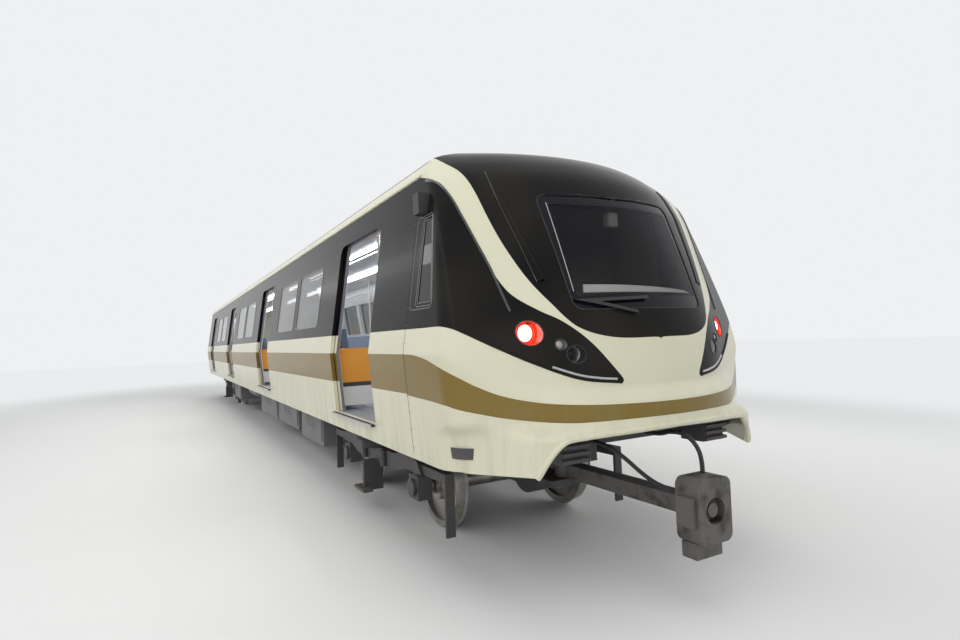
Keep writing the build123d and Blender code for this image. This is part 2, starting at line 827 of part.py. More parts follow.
# Door leaves: each follows the lean of the side and holds its own pane
leaf_low = floor_height + leaf_foot_gap
leaf_ring = body_ring(0, leaf_width, leaf_inset, leaf_inset + leaf_thickness)
pane_inset = leaf_inset + (leaf_thickness - glass_thickness) / 2
pane_ring = body_ring(0, leaf_width, pane_inset, pane_inset + glass_thickness)
for side_name, side in SIDES:
    open_shift = leaf_travel if side_name == OPEN_SIDE else 0
    leaf_opening = window_cutter(leaf_width / 2, leaf_window_width, leaf_window_low,
                                 leaf_window_high, window_corner, side)
    leaf_pane = common(pane_ring, window_cutter(leaf_width / 2, leaf_window_width, leaf_window_low,
                                                leaf_window_high, window_corner, side, -glass_gap))
    leaf_blank = within(leaf_ring, (0, side * aisle_half, leaf_low),
                        (leaf_width, side * far_x, leaf_low + leaf_height))
    for number, centre in enumerate(DOOR_CENTRES, start=1):
        leaf_places = {
            "front": centre + leaf_meeting_gap + open_shift,
            "rear": centre - leaf_meeting_gap - leaf_width - open_shift,
        }
        for end_name, leaf_x in leaf_places.items():
            with BuildPart() as leaf:
                add(leaf_blank)
                add(leaf_opening, mode=Mode.SUBTRACT)
                add(leaf_pane)
            leaf.part.position = (leaf_x, 0, 0)
            finish(leaf, f"door_{side_name}_{number}_{end_name}")

# Sill plates of the doorways
with BuildPart() as door_sills:
    for side_name, side in SIDES:
        for centre in DOOR_CENTRES:
            with Locations((centre, side * (side_y(floor_height) + sill_plate_depth / 2),
                            floor_height - sill_plate_height / 2)):
                Box(doorway_width, sill_plate_depth, sill_plate_height)
    extrude(cross_section(slab_rear_x), amount=cab_seam_x - slab_rear_x, mode=Mode.SUBTRACT)
finish(door_sills, "door_sills")

# Cab mask, split where its panels meet
hood_foot = HOOD_ARCS[-1][-1]
hood_top = HOOD_ARCS[0][0]
wing_foot = WING_ARCS[-1][-1]
wing_top = WING_ARCS[0][0]
belt_top_z = BELT_TOP[-1][1]
belt_foot_z = BELT_FOOT[0][1]
hood_block = front_region(HOOD_ARCS, [hood_foot, (0, far_x), (hood_top[0] + skin, far_x), hood_top])
wing_block = front_region(WING_ARCS, [wing_foot, (mask_half_width, wing_foot[1]),
                                      (mask_half_width, wing_top[1]), wing_top])
belt_block = side_block(BELT_TOP + [(far_x, belt_top_z), (far_x, belt_foot_z)] + BELT_FOOT)
skirt_block = side_block(BELT_FOOT + [(cab_seam_x, 0), (far_x, 0), (far_x, belt_foot_z)])
below_band = side_block(BELT_TOP + [(far_x, belt_top_z), (far_x, 0), (cab_seam_x, 0)])
upper_panel = mask_panel(nose_outer, nose_inner)
nose_trim = mask_panel(mask_solid(NOSE_LEVELS, nose_radius, nose_angle, -trim_proud), nose_outer)

with BuildPart() as mask_hood:
    add(common(upper_panel, hood_block))
    add(screen_block(0), mode=Mode.SUBTRACT)
finish(mask_hood, "mask_hood")

with BuildPart() as mask_wings:
    add(common(upper_panel, wing_block))
    add(common(nose_trim, cab_window_block(-cab_window_frame)))
    add(common(nose_trim, lamp_rods(lamp_bezel)))
    add(cab_window_block(0), mode=Mode.SUBTRACT)
    add(lamp_rods(glass_gap), mode=Mode.SUBTRACT)
    add(bar_block(glass_gap), mode=Mode.SUBTRACT)
finish(mask_wings, "mask_wings")

with BuildPart() as mask_band:
    add(upper_panel)
    add(hood_block, mode=Mode.SUBTRACT)
    add(wing_block, mode=Mode.SUBTRACT)
    add(below_band, mode=Mode.SUBTRACT)
finish(mask_band, "mask_band")

with BuildPart() as mask_belt:
    add(mask_panel(bumper_outer, nose_inner))
    add(belt_block, mode=Mode.INTERSECT)
finish(mask_belt, "mask_belt")

with BuildPart() as mask_skirt:
    add(mask_panel(bumper_outer, bumper_inner))
    add(skirt_block, mode=Mode.INTERSECT)
    bumper_proud = mask_solid(BUMPER_LEVELS, bumper_radius, bumper_angle, -lip_proud)
    add(common(mask_panel(bumper_proud, bumper_inner), opening_block(opening_lip)))
    add(opening_block(0), mode=Mode.SUBTRACT)
finish(mask_skirt, "mask_skirt")

# Windscreen and cab side windows
glass_outer = mask_solid(NOSE_LEVELS, nose_radius, nose_angle, glass_inset)
glass_inner = mask_solid(NOSE_LEVELS, nose_radius, nose_angle, glass_inset + glass_thickness)
glass_panel = mask_panel(glass_outer, glass_inner)
with BuildPart() as windscreen:
    add(common(glass_panel, screen_block(glass_gap)))
finish(windscreen, "windscreen")

with BuildPart() as cab_windows:
    add(common(glass_panel, cab_window_block(glass_gap)))
finish(cab_windows, "cab_windows")

# Cab bulkhead with the doorway of the cab door
door_hinge_y = cab_door_y + cab_door_width
with BuildPart() as cab_bulkhead:
    extrude(cross_section(bulkhead_x, lining_inset + lining_thickness, lining_low, ceiling_height),
            amount=bulkhead_thickness)
    with Locations((bulkhead_x + bulkhead_thickness / 2, 0, floor_height + roof_height / 2)):
        Box(bulkhead_thickness, 2 * far_x, roof_height, mode=Mode.INTERSECT)
    with Locations((bulkhead_x + bulkhead_thickness / 2, cab_door_y + cab_door_width / 2,
                    floor_height + cab_door_height / 2)):
        Box(bulkhead_thickness, cab_door_width, cab_door_height, mode=Mode.SUBTRACT)
    for height in HINGE_HEIGHTS:
        with Locations((hinge_x, door_hinge_y, floor_height + height)):
            Cylinder(hinge_pin_radius, hinge_length)
        with Locations((hinge_x - hinge_pin_radius, door_hinge_y - hinge_pin_radius,
                        floor_height + height + hinge_length / 2)):
            Box(hinge_radius + hinge_pin_radius, 4 * hinge_radius, hinge_length / 2,
                align=(Align.MIN, Align.MIN, Align.MIN))
finish(cab_bulkhead, "cab_bulkhead")

with BuildPart() as cab_door:
    with Locations((bulkhead_x + bulkhead_thickness / 2, cab_door_y + cab_door_width / 2,
                    floor_height + cab_door_height / 2)):
        Box(cab_door_thickness, cab_door_width - 2 * cab_door_gap,
            cab_door_height - 2 * cab_door_gap)
    for height in HINGE_HEIGHTS:
        with Locations((hinge_x + hinge_radius, door_hinge_y - hinge_radius,
                        floor_height + height)):
            Box(2 * hinge_radius, 2 * hinge_radius, hinge_length - 2 * bearing_gap)
        with Locations((hinge_x, door_hinge_y, floor_height + height)):
            Cylinder(hinge_radius, hinge_length - 2 * bearing_gap)
            Cylinder(hinge_pin_radius + bearing_gap, hinge_length, mode=Mode.SUBTRACT)
finish(cab_door, "cab_door")

# Driver's desk across the cab, with its console
with BuildPart() as cab_desk:
    with BuildSketch(Plane.XZ.offset(-desk_half_width)):
        with BuildLine():
            Polyline(*DESK_PROFILE, close=True)
        make_face()
    extrude(amount=2 * desk_half_width)
    with Locations((desk_knee_x, seat_y, floor_height + desk_knee_height / 2)):
        Box(desk_knee_length, desk_knee_width, desk_knee_height, mode=Mode.SUBTRACT)
    desk_back_x, desk_back_z = DESK_PROFILE[-2]
    desk_top_x, desk_top_z = DESK_PROFILE[3]
    desk_front_x, desk_front_z = DESK_PROFILE[2]
    add(within(nose_inner, (desk_back_x, -desk_half_width, shelf_top - shelf_thickness),
               (far_x, desk_half_width, shelf_top)))
    with Locations(*[(desk_top_x + shelf_thickness, y, desk_top_z + desk_screen_height / 2)
                     for y in DESK_SCREENS]):
        Box(2 * shelf_thickness, desk_screen_width, desk_screen_height)
    with Locations(*[(desk_front_x + lever_height / 2, seat_y + end * desk_knee_width / 2,
                      desk_front_z + lever_height / 2) for end in (-1, 1)]):
        Cylinder(hinge_radius, lever_height)
finish(cab_desk, "cab_desk")

# Driver's seat on its pedestal
with BuildPart() as cab_seat:
    with Locations((seat_x, seat_y, floor_height + 20)):
        Cylinder(190, 40)
    with Locations((seat_x, seat_y, floor_height + seat_height / 2)):
        Cylinder(60, seat_height)
    with Locations((seat_x, seat_y, floor_height + seat_height)):
        Box(460, 480, 110)
    with Locations(Location((seat_x - 240, seat_y, floor_height + seat_height + 330), (0, -12, 0))):
        Box(90, 460, 640)
finish(cab_seat, "cab_seat")


def bench_outline(side, grow):
    """Outline of a bench, grown all round."""
    with BuildSketch() as outline:
        with BuildLine():
            Polyline(*[(side * y, z) for y, z in BENCH_PROFILE], close=True)
        make_face()
        if grow:
            offset(amount=grow, kind=Kind.INTERSECTION)
    return outline.sketch


# Benches along both side walls, between the draught screens of neighbouring doorways
with BuildPart() as seats:
    bench_length = door_pitch - doorway_width - 2 * (screen_gap + screen_thickness)
    seat_pitch = bench_length / seats_per_bench
    for side_name, side in SIDES:
        bench_planes = []
        joint_planes = []
        for centre in DOOR_CENTRES[:-1]:
            bench_start = centre - (door_pitch + bench_length) / 2
            bench_planes.append(Plane.YZ.offset(bench_start))
            for joint in range(1, seats_per_bench):
                joint_x = bench_start + joint * seat_pitch
                joint_planes.append(Plane.YZ.offset(joint_x - seat_groove_width / 2))
        with BuildSketch(*bench_planes):
            add(bench_outline(side, 0))
        extrude(amount=bench_length)
        with BuildSketch(*joint_planes):
            add(bench_outline(side, 1))
            add(bench_outline(side, -seat_groove_depth), mode=Mode.SUBTRACT)
        extrude(amount=seat_groove_width, mode=Mode.SUBTRACT)
finish(seats, "seats")

# Draught screens beside the doorways, cut to the lining
screen_fit = cross_section(0, lining_inset + lining_thickness + glass_gap)
with BuildPart() as draught_screens:
    for side_name, side in SIDES:
        for centre in DOOR_CENTRES:
            for end in (-1, 1):
                screen_x = centre + end * (doorway_width / 2 + screen_gap + screen_thickness / 2)
                with Locations((screen_x, side * (waist_half_width - screen_reach / 2),
                                (screen_low + screen_high) / 2)):
                    Box(screen_thickness, screen_reach, screen_high - screen_low)
    extrude(screen_fit, amount=far_x, both=True, mode=Mode.INTERSECT)
finish(draught_screens, "draught_screens")

# Grab poles at the screens, with a rail over each bench
with BuildPart() as grab_poles:
    for side_name, side in SIDES:
        for centre in DOOR_CENTRES:
            for end in (-1, 1):
                pole_x = centre + end * (doorway_width / 2 + screen_gap + screen_thickness / 2)
                with Locations((pole_x, side * pole_y, (floor_height + ceiling_height) / 2)):
                    Cylinder(pole_radius, ceiling_height - floor_height - 2 * glass_gap)
        for centre in DOOR_CENTRES[:-1]:
            rail_length = door_pitch - doorway_width - 2 * screen_gap - screen_thickness
            with Locations(Location((centre - door_pitch / 2, side * pole_y, rail_height),
                                    (0, 90, 0))):
                Cylinder(pole_radius, rail_length)
finish(grab_poles, "grab_poles")

# Lamps sunk into the wings
with BuildPart() as marker_lamps:
    add(lamp_rods(0))
    add(bar_block(0))
    add(mask_solid(NOSE_LEVELS, nose_radius, nose_angle, lamp_sink), mode=Mode.INTERSECT)
    add(mask_solid(NOSE_LEVELS, nose_radius, nose_angle, lamp_depth), mode=Mode.SUBTRACT)
finish(marker_lamps, "marker_lamps")

# Side cameras in their housings on the mask's cheeks
with BuildPart() as side_cameras:
    for side_name, side in SIDES:
        with Locations((camera_x, side * (camera_root_y + camera_face_y) / 2,
                        (camera_low + camera_high) / 2)):
            Box(camera_size, camera_face_y - camera_root_y, camera_high - camera_low)
    extrude(cross_section(cab_seam_x), amount=far_x, mode=Mode.SUBTRACT)
finish(side_cameras, "side_cameras")

# Windscreen wiper: a pivot at the foot of the glass, with its arm and blade laid along the foot
with BuildPart() as wiper:
    with BuildSketch(Plane.YZ.offset(cab_seam_x)):
        with BuildLine():
            Polyline(*WIPER_ROUTE)
        trace(line_width=2 * wiper_half_width)
    extrude(amount=far_x)
    add(mask_loft(NOSE_LEVELS, nose_radius, nose_angle, -wiper_proud), mode=Mode.INTERSECT)
    add(mask_loft(NOSE_LEVELS, nose_radius, nose_angle, -glass_gap), mode=Mode.SUBTRACT)
finish(wiper, "wiper")

# Anticlimbers: ribbed blocks behind the coupler's opening
with BuildPart() as anticlimbers:
    for side_name, side in SIDES:
        y = side * anticlimber_y
        with Locations(((floor_front_x + anticlimber_face_x) / 2, y, anticlimber_z)):
            Box(anticlimber_face_x - floor_front_x, anticlimber_width, anticlimber_height)
        cap_x = anticlimber_face_x - anticlimber_width / 2
        with Locations((cap_x, y, anticlimber_z + (anticlimber_height + anticlimber_cap) / 2)):
            Cylinder(anticlimber_width / 2, anticlimber_cap)
        for number in range(anticlimber_ribs):
            rib_z = anticlimber_z + (number - (anticlimber_ribs - 1) / 2) * anticlimber_pitch
            with Locations((anticlimber_face_x + anticlimber_rib / 2, y, rib_z)):
                Box(anticlimber_rib, anticlimber_width, anticlimber_pitch / 2)
finish(anticlimbers, "anticlimbers")

# Rear drawbar with its eye, on a bracket below the end wall
with BuildPart() as rear_drawbar:
    bar_length = rear_bar_root_x - rear_face_x
    with Locations((rear_face_x + bar_length / 2 + rear_eye_radius / 2, 0, coupler_height)):
        Box(bar_length - rear_eye_radius, rear_bar_width, shank_height)
    with Locations((rear_face_x + rear_eye_radius, 0, coupler_height)):
        Cylinder(rear_eye_radius, shank_height)
        Cylinder(rear_eye_bore, shank_height, mode=Mode.SUBTRACT)
    with Locations((rear_bar_root_x - 150, 0, (coupler_height + slab_low) / 2)):
        Box(300, draught_width, slab_low - coupler_height)
finish(rear_drawbar, "rear_drawbar")

# Front coupler: shank with its eye round the pin, and the head
with BuildPart() as coupler_shank:
    shank_length = coupler_head_x - coupler_pivot_x
    with Locations((coupler_pivot_x, 0, coupler_height)):
        Cylinder(coupler_eye_radius, shank_height)
    with Locations((coupler_pivot_x + shank_length / 2, 0, coupler_height)):
        Box(shank_length, shank_width, shank_height)
    with Locations((coupler_pivot_x, 0, coupler_height)):
        Cylinder(coupler_pin_radius + pivot_gap, shank_height, mode=Mode.SUBTRACT)
finish(coupler_shank, "coupler_shank")

with BuildPart() as coupler_head:
    head_length = coupler_face_x - coupler_head_x
    with Locations((coupler_head_x + head_length / 2, 0, coupler_height)):
        Box(head_length, coupler_head_width, coupler_head_height)
    fillet(coupler_head.edges().filter_by(Axis.X), coupler_head_corner)
    with Locations(Location((coupler_face_x, 0, coupler_height), (0, 90, 0))):
        Cylinder(coupler_cup_radius, 2 * coupler_cup_depth, mode=Mode.SUBTRACT)
    disc_length = coupler_cup_depth - coupler_disc_sink
    with Locations(Location((coupler_face_x - coupler_cup_depth + disc_length / 2, 0,
                             coupler_height), (0, 90, 0))):
        Cylinder(coupler_disc_radius, disc_length)
    for side_name, side in SIDES:
        with Locations((coupler_head_x + head_length / 2,
                        side * (coupler_head_width + head_rib_height) / 2, coupler_height)):
            Box(head_length - 2 * head_rib_width, head_rib_height,
                coupler_head_height - 4 * coupler_head_corner)
    with Locations((coupler_face_x - contact_box_length, 0,
                    coupler_height - (coupler_head_height + contact_box_height) / 2)):
        Box(contact_box_length, contact_box_width, contact_box_height)
finish(coupler_head, "coupler_head")


def bend_radii(route):
    """Radius of each corner of a route: a share of the shorter run beside it."""
    found = []
    for before, corner, after in zip(route, route[1:], route[2:]):
        run_in = Vector(*corner) - Vector(*before)
        run_out = Vector(*after) - Vector(*corner)
        half_turn = radians(run_in.get_angle(run_out) / 2)
        found.append(hose_bend_share * min(run_in.length, run_out.length) / tan(half_turn))
    return found


# Air hoses from the body down to the coupler's head
for hose_name, route in HOSE_ROUTES.items():
    hose_radii = bend_radii(route)
    print("hose", hose_name, "bends", [round(radius) for radius in hose_radii])
    with BuildPart() as brake_hose:
        with BuildLine() as hose_line:
            FilletPolyline(*route, radius=hose_radii)
        with BuildSketch(Plane(route[0], z_dir=Vector(*route[1]) - Vector(*route[0]))):
            Circle(hose_radius)
        sweep(path=hose_line.line)
    hose_length = sum(edge.length for edge in hose_line.edges())
    print("length", round(hose_length), "volume", round(brake_hose.part.volume),
          "against", round(pi * hose_radius ** 2 * hose_length))
    finish(brake_hose, f"brake_hose_{hose_name}")

# Bogies
for bogie_name, x in BOGIES:
    with BuildPart() as frame:
        for side_name, side in SIDES:
            with BuildSketch(Plane.XZ.offset(-side * frame_beam_y - frame_beam_width / 2)):
                with BuildLine():
                    Polyline(*[(x + along, height) for along, height in BEAM_PROFILE], close=True)
                make_face()
            extrude(amount=frame_beam_width)
            for end in (-1, 1):
                with Locations((x + end * wheelbase / 2, side * frame_beam_y, axle_height)):
                    Box(axlebox_size, frame_beam_width, axlebox_size)
                    with Locations((0, 0, axlebox_size / 2)):
                        Cylinder(primary_spring_radius, 2 * primary_spring_height)
                with Locations(Location((x + end * wheelbase / 2, side * frame_beam_y, axle_height),
                                        (90, 0, 0))):
                    Cylinder(journal_radius + bearing_gap, frame_beam_width, mode=Mode.SUBTRACT)
                cover_y = frame_beam_y + (frame_beam_width + axle_cover_length) / 2
                with Locations(Location((x + end * wheelbase / 2, side * cover_y, axle_height),
                                        (90, 0, 0))):
                    Cylinder(axle_cover_radius, axle_cover_length)
                guard_top = beam_end_low + guard_width
                with Locations((x + end * (beam_shoulder_x + guard_x) / 2, side * frame_beam_y,
                                beam_end_low + guard_width / 2)):
                    Box(guard_x - beam_shoulder_x, guard_width, guard_width)
                with Locations((x + end * guard_x, side * frame_beam_y,
                                (guard_foot + guard_top) / 2)):
                    Box(guard_thickness, guard_width, guard_top - guard_foot)
                with Locations((x + end * damper_x, side * (frame_beam_y + frame_beam_width / 2
                                                            + damper_radius / 2),
                                (beam_low + beam_high) / 2)):
                    Cylinder(damper_radius, beam_high - beam_low)
            with Locations((x, side * shoe_y, shoe_height)):
                Box(shoe_length, shoe_width, shoe_thickness)
            with Locations((x, side * (frame_beam_y + shoe_y) / 2, (shoe_height + beam_low) / 2)):
                Box(shoe_arm, shoe_y - frame_beam_y, beam_low - shoe_height + shoe_arm)
        with Locations((x, 0, (beam_low + beam_high) / 2)):
            Box(bolster_width, 2 * frame_beam_y, beam_high - beam_low)
        with Locations((x, 0, (beam_low + beam_high) / 2)):
            Cylinder(pivot_radius + pivot_gap, far_x, mode=Mode.SUBTRACT)
        for end in (-1, 1):
            pad_x = wheelbase / 2 - disc_radius + pad_reach / 2
            arm_end_x = wheelbase / 2 - disc_radius - pad_gap
            arm_x = (bolster_width / 2 + arm_end_x) / 2
            pad_y = disc_thickness / 2 + pad_gap + pad_thickness / 2
            with Locations((x + end * arm_x, end * disc_y, (beam_low + beam_high) / 2)):
                Box(arm_end_x - bolster_width / 2, 2 * pad_y + pad_thickness, caliper_height)
            with Locations((x + end * (pad_x - pad_gap), end * disc_y + pad_y, beam_low),
                           (x + end * (pad_x - pad_gap), end * disc_y - pad_y, beam_low)):
                Box(pad_reach + 2 * pad_gap, pad_thickness, pad_height)
    finish(frame, f"bogie_{bogie_name}_frame")

    with BuildPart() as air_springs:
        spring_top = slab_low - sill_depth - spring_top_gap
        for side_name, side in SIDES:
            with BuildSketch(Plane.XZ.offset(-side * frame_beam_y)):
                with BuildLine():
                    Polyline(*[(x + r, beam_high + h * (spring_top - beam_high))
                               for r, h in SPRING_PROFILE],
                             close=True)
                make_face()
            revolve(axis=Axis((x, side * frame_beam_y, 0), (0, 0, 1)))
    finish(air_springs, f"bogie_{bogie_name}_air_springs")

    with BuildPart() as drives:
        for end in (-1, 1):
            axle_x = x + end * wheelbase / 2
            motor_x = x + end * motor_offset
            with Locations(Location((motor_x, end * motor_y, axle_height + motor_lift), (90, 0, 0))):
                Cylinder(motor_radius, motor_length)
            with Locations(((axle_x + motor_x) / 2, end * gear_y, axle_height + motor_lift / 2)):
                Box(abs(axle_x - motor_x) + gear_radius, gear_width, gear_case_height)
            with Locations(Location((axle_x, end * gear_y, axle_height), (90, 0, 0))):
                Cylinder(gear_radius, gear_width)
                Cylinder(axle_radius + bearing_gap, 2 * gear_width, mode=Mode.SUBTRACT)
            bracket_x = x + end * (bolster_width / 2 + bearing_gap)
            with Locations(((bracket_x + motor_x) / 2, end * motor_y, (beam_low + beam_high) / 2)):
                Box(abs(motor_x - bracket_x), motor_length / 2, motor_bracket)
    finish(drives, f"bogie_{bogie_name}_drives")

    for end_name, end in [("leading", 1), ("trailing", -1)]:
        axle_x = x + end * wheelbase / 2
        with BuildPart() as wheelset:
            with BuildSketch(Plane.XY.offset(axle_height)):
                with BuildLine():
                    Polyline(*[(axle_x + r, y) for r, y in WHEEL_PROFILE], close=True)
                make_face()
                with BuildLine():
                    Polyline(*[(axle_x + r, -y) for r, y in WHEEL_PROFILE], close=True)
                make_face()
                with BuildLine():
                    Polyline(*[(axle_x + r, y) for r, y in AXLE_PROFILE], close=True)
                make_face()
            revolve(axis=Axis((axle_x, 0, axle_height), (0, 1, 0)))
            with Locations(Location((axle_x, end * disc_y, axle_height), (90, 0, 0))):
                Cylinder(disc_radius, disc_thickness)
        finish(wheelset, f"wheelset_{bogie_name}_{end_name}")
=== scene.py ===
# %% [markdown]
# A metro cab car, dressed for its picture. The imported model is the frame: it holds the walls,
# doors, bogies and coupler at their real size, in metres, with the cab towards +X and the open
# doors towards -Y. Everything below is fitted round that frame and rides on its bodies.

from math import cos, pi, radians, sin, sqrt

import bmesh
import bpy
from mathutils import Matrix, Vector


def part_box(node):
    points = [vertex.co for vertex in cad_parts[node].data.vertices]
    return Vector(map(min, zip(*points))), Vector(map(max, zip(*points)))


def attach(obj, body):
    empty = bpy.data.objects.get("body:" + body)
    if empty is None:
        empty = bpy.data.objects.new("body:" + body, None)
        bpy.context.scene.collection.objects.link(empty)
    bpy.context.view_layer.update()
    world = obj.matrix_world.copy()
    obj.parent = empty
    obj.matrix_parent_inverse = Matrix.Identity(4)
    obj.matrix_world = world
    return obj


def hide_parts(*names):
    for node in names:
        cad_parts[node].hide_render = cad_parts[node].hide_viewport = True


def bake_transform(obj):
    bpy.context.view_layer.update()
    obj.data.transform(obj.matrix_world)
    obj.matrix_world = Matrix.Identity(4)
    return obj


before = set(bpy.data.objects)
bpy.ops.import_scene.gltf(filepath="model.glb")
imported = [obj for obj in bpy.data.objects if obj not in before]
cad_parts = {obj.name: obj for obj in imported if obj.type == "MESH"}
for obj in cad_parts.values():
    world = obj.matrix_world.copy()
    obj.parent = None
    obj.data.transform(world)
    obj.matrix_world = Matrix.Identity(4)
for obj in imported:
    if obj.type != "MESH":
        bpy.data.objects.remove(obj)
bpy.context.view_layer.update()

# %% [markdown]
# The camera comes first, because it decides which details are worth making. A wide lens stands at
# eye height beside the nose, close to the side with the open doors, and is rolled a little. Its
# matrix is built from three directions, which is easier to check than three Euler angles.

# %% Camera
IMAGE_WIDTH = 960
SENSOR_WIDTH = 36.0
focal_length_pixels = 582.6
eye = Vector((14.438, -3.283, 1.902))
camera_yaw, camera_pitch, camera_roll = radians(151.02), radians(1.84), radians(-2.20)

ahead = Vector((cos(camera_pitch) * cos(camera_yaw), cos(camera_pitch) * sin(camera_yaw),
                sin(camera_pitch)))
level_right = ahead.cross((0, 0, 1)).normalized()
level_up = level_right.cross(ahead)
camera_right = cos(camera_roll) * level_right + sin(camera_roll) * level_up
camera_up = cos(camera_roll) * level_up - sin(camera_roll) * level_right
lens = bpy.data.cameras.new("lens")
lens.sensor_width = SENSOR_WIDTH
lens.lens = focal_length_pixels / IMAGE_WIDTH * SENSOR_WIDTH
camera = bpy.data.objects.new("camera", lens)
bpy.context.scene.collection.objects.link(camera)
turn = Matrix((camera_right, camera_up, -ahead)).transposed().to_4x4()
camera.matrix_world = Matrix.Translation(eye) @ turn
bpy.context.scene.camera = camera
print("lens", round(lens.lens, 2), "mm at", tuple(eye))

# %% [markdown]
# Materials are node graphs, and graphs are easier to read as sums than as boxes and wires. Signal
# wraps one output socket, so that `0.3 + 0.1 * grain` adds the Math nodes itself. Finish holds one
# material and has a single method that makes any other node.

# %% Shader helpers


class Signal:
    """An output socket that Python's operators can work on."""

    def __init__(self, finish, socket):
        self.finish = finish
        self.socket = socket

    def __add__(self, other):
        return self.finish.math("ADD", self, other)

    def __sub__(self, other):
        return self.finish.math("SUBTRACT", self, other)

    def __mul__(self, other):
        return self.finish.math("MULTIPLY", self, other)

    def __radd__(self, other):
        return self.finish.math("ADD", other, self)

    def __rsub__(self, other):
        return self.finish.math("SUBTRACT", other, self)

    def __rmul__(self, other):
        return self.finish.math("MULTIPLY", other, self)

    def __abs__(self):
        return self.finish.math("ABSOLUTE", self)


class Finish:
    """One material: a Principled shader and the nodes that feed it."""

    def __init__(self, name, **constants):
        self.material = bpy.data.materials.new(name)
        self.material.use_nodes = True
        self.tree = self.material.node_tree
        self.shader = self.tree.nodes["Principled BSDF"]
        for socket, value in constants.items():
            self.set(socket.replace("_", " "), value)
        self.place = self.node("ShaderNodeTexCoord", output="Object")

    def plug(self, socket, value):
        if isinstance(value, Signal):
            self.tree.links.new(value.socket, socket)
        elif value is not None:
            socket.default_value = value

    def set(self, socket_name, value):
        """Give one socket of the shader a constant or a signal."""
        if isinstance(value, tuple) and len(value) == 3:
            value = (*value, 1.0)
        self.plug(self.shader.inputs[socket_name], value)

    def node(self, kind, settings=None, inputs=None, output=0):
        """Any node: its settings first, then its sockets by name or number, then one output."""
        made = self.tree.nodes.new(kind)
        for setting, value in (settings or {}).items():
            setattr(made, setting, value)
        for socket, value in (inputs or {}).items():
            self.plug(made.inputs[socket], value)
        return Signal(self, made.outputs[output])

    def math(self, operation, *values):
        return self.node("ShaderNodeMath", {"operation": operation}, dict(enumerate(values)))

    def mix(self, factor, first, second):
        """Mix two colours."""
        colours = [(*c, 1.0) if isinstance(c, tuple) else c for c in (first, second)]
        return self.node("ShaderNodeMix", {"data_type": "RGBA"},
                         {0: factor, 6: colours[0], 7: colours[1]}, 2)

    def stretch(self, x, y, z):
        """The piece's own coordinates, scaled along each axis."""
        return self.node("ShaderNodeMapping", {}, {"Vector": self.place, "Scale": (x, y, z)})

    def noise(self, scale, detail=3.0, where=None):
        return self.node("ShaderNodeTexNoise", {},
                         {"Vector": where or self.place, "Scale": scale, "Detail": detail}, "Fac")

    def cells(self, scale):
        return self.node("ShaderNodeTexVoronoi", {}, {"Vector": self.place, "Scale": scale},
                         "Distance")

    def axis(self, letter):
        """One of the piece's own coordinates, in metres."""
        return self.node("ShaderNodeSeparateXYZ", {}, {0: self.place}, letter)

    def step(self, value, start, end):
        """0 before start and 1 after end, smooth between them."""
        return self.node("ShaderNodeMapRange", {"interpolation_type": "SMOOTHSTEP"},
                         {"Value": value, "From Min": start, "From Max": end})

    def between(self, value, low, high, fade):
        """1 between two values and 0 outside them, with soft ends."""
        return self.step(value, low - fade, low) * (1.0 - self.step(value, high, high + fade))

    def bump(self, height, strength, distance=0.001):
        """Dents and grain worked out from a height signal."""
        inputs = {"Strength": strength, "Distance": distance, "Height": height}
        self.set("Normal", self.node("ShaderNodeBump", {}, inputs))


print("shader helpers", Signal.__name__, Finish.__name__)

# %% [markdown]
# Railway paint is thick, clear coated and washed by machine: the gloss is even, the orange peel is
# fine, and road film gathers low on the body and in faint upright streaks. One function gives all
# the gloss colours, so that they age alike, and the gold one gets metallic flakes: dots of lighter
# gold, partly the flakes' own colour and partly painted glints.

# %% Paint
CREAM = (0.68, 0.66, 0.50)
GOLD_BROWN = (0.19, 0.128, 0.022)
GLOSS_BLACK = (0.008, 0.0075, 0.0075)
HIGHLIGHT_BLACK = (0.05, 0.05, 0.05)
ROAD_FILM = (0.30, 0.27, 0.21)
FILM_THICK_Z, FILM_GONE_Z = 0.9, 1.7


def shaded(colour, factor):
    """A colour made darker or lighter by a factor."""
    return tuple(factor * part for part in colour)


def gloss_paint(name, colour, roughness=0.28, film=0.22, metallic=0.0, flake=0.0, coat=0.32,
                shine=0.25):
    """Clear-coated paint with a road film on its lower part."""
    paint = Finish(name, Coat_Weight=coat, Coat_Roughness=0.05, Metallic=metallic)
    paint.set("Specular IOR Level", shine)
    streaks = paint.noise(5.0, 4.0, paint.stretch(2.2, 2.2, 0.35))
    clouds = paint.noise(0.9, 2.0)
    low = 1.0 - paint.step(paint.axis("Z"), FILM_THICK_Z, FILM_GONE_Z)
    dirt = film * low * paint.step(streaks, 0.42, 0.72) + 0.05 * paint.step(clouds, 0.4, 0.8)
    shade = paint.mix(0.10 * clouds, colour, shaded(colour, 0.82))
    if flake:
        # Metallic flakes, partly painted glints: dots of lighter gold that shine under any light.
        painted_flake_glints = paint.step(paint.cells(900.0), 0.35, 0.75)
        shade = paint.mix(flake * painted_flake_glints, shade, shaded(colour, 1.7))
    paint.set("Base Color", paint.mix(dirt, shade, ROAD_FILM))
    paint.set("Roughness", roughness + 0.5 * dirt + 0.08 * paint.noise(35.0))
    paint.bump(paint.noise(120.0, 2.0), 0.02)
    return paint.material


cream_paint = gloss_paint("cream_paint", CREAM)
gold_paint = gloss_paint("gold_brown_paint", GOLD_BROWN, 0.34, metallic=0.25, flake=0.25)
black_paint = gloss_paint("gloss_black_paint", GLOSS_BLACK, 0.16, film=0.05, coat=0.06, shine=0.05)
# A lighter, metallic copy of the black paint: on rounded edges it shows as a painted highlight.
highlight_black = gloss_paint("black_edge_painted_highlight", HIGHLIGHT_BLACK, 0.08, film=0.0, metallic=0.75,
                             coat=1.0)
print("paints", cream_paint.name, gold_paint.name, black_paint.name, highlight_black.name)

# %% [markdown]
# Below the floor nothing is polished. Chassis paint is matt and dusty, with brown brake dust that
# settles on the faces that look up.

# %% Chassis paint
BRAKE_DUST = (0.16, 0.125, 0.095)


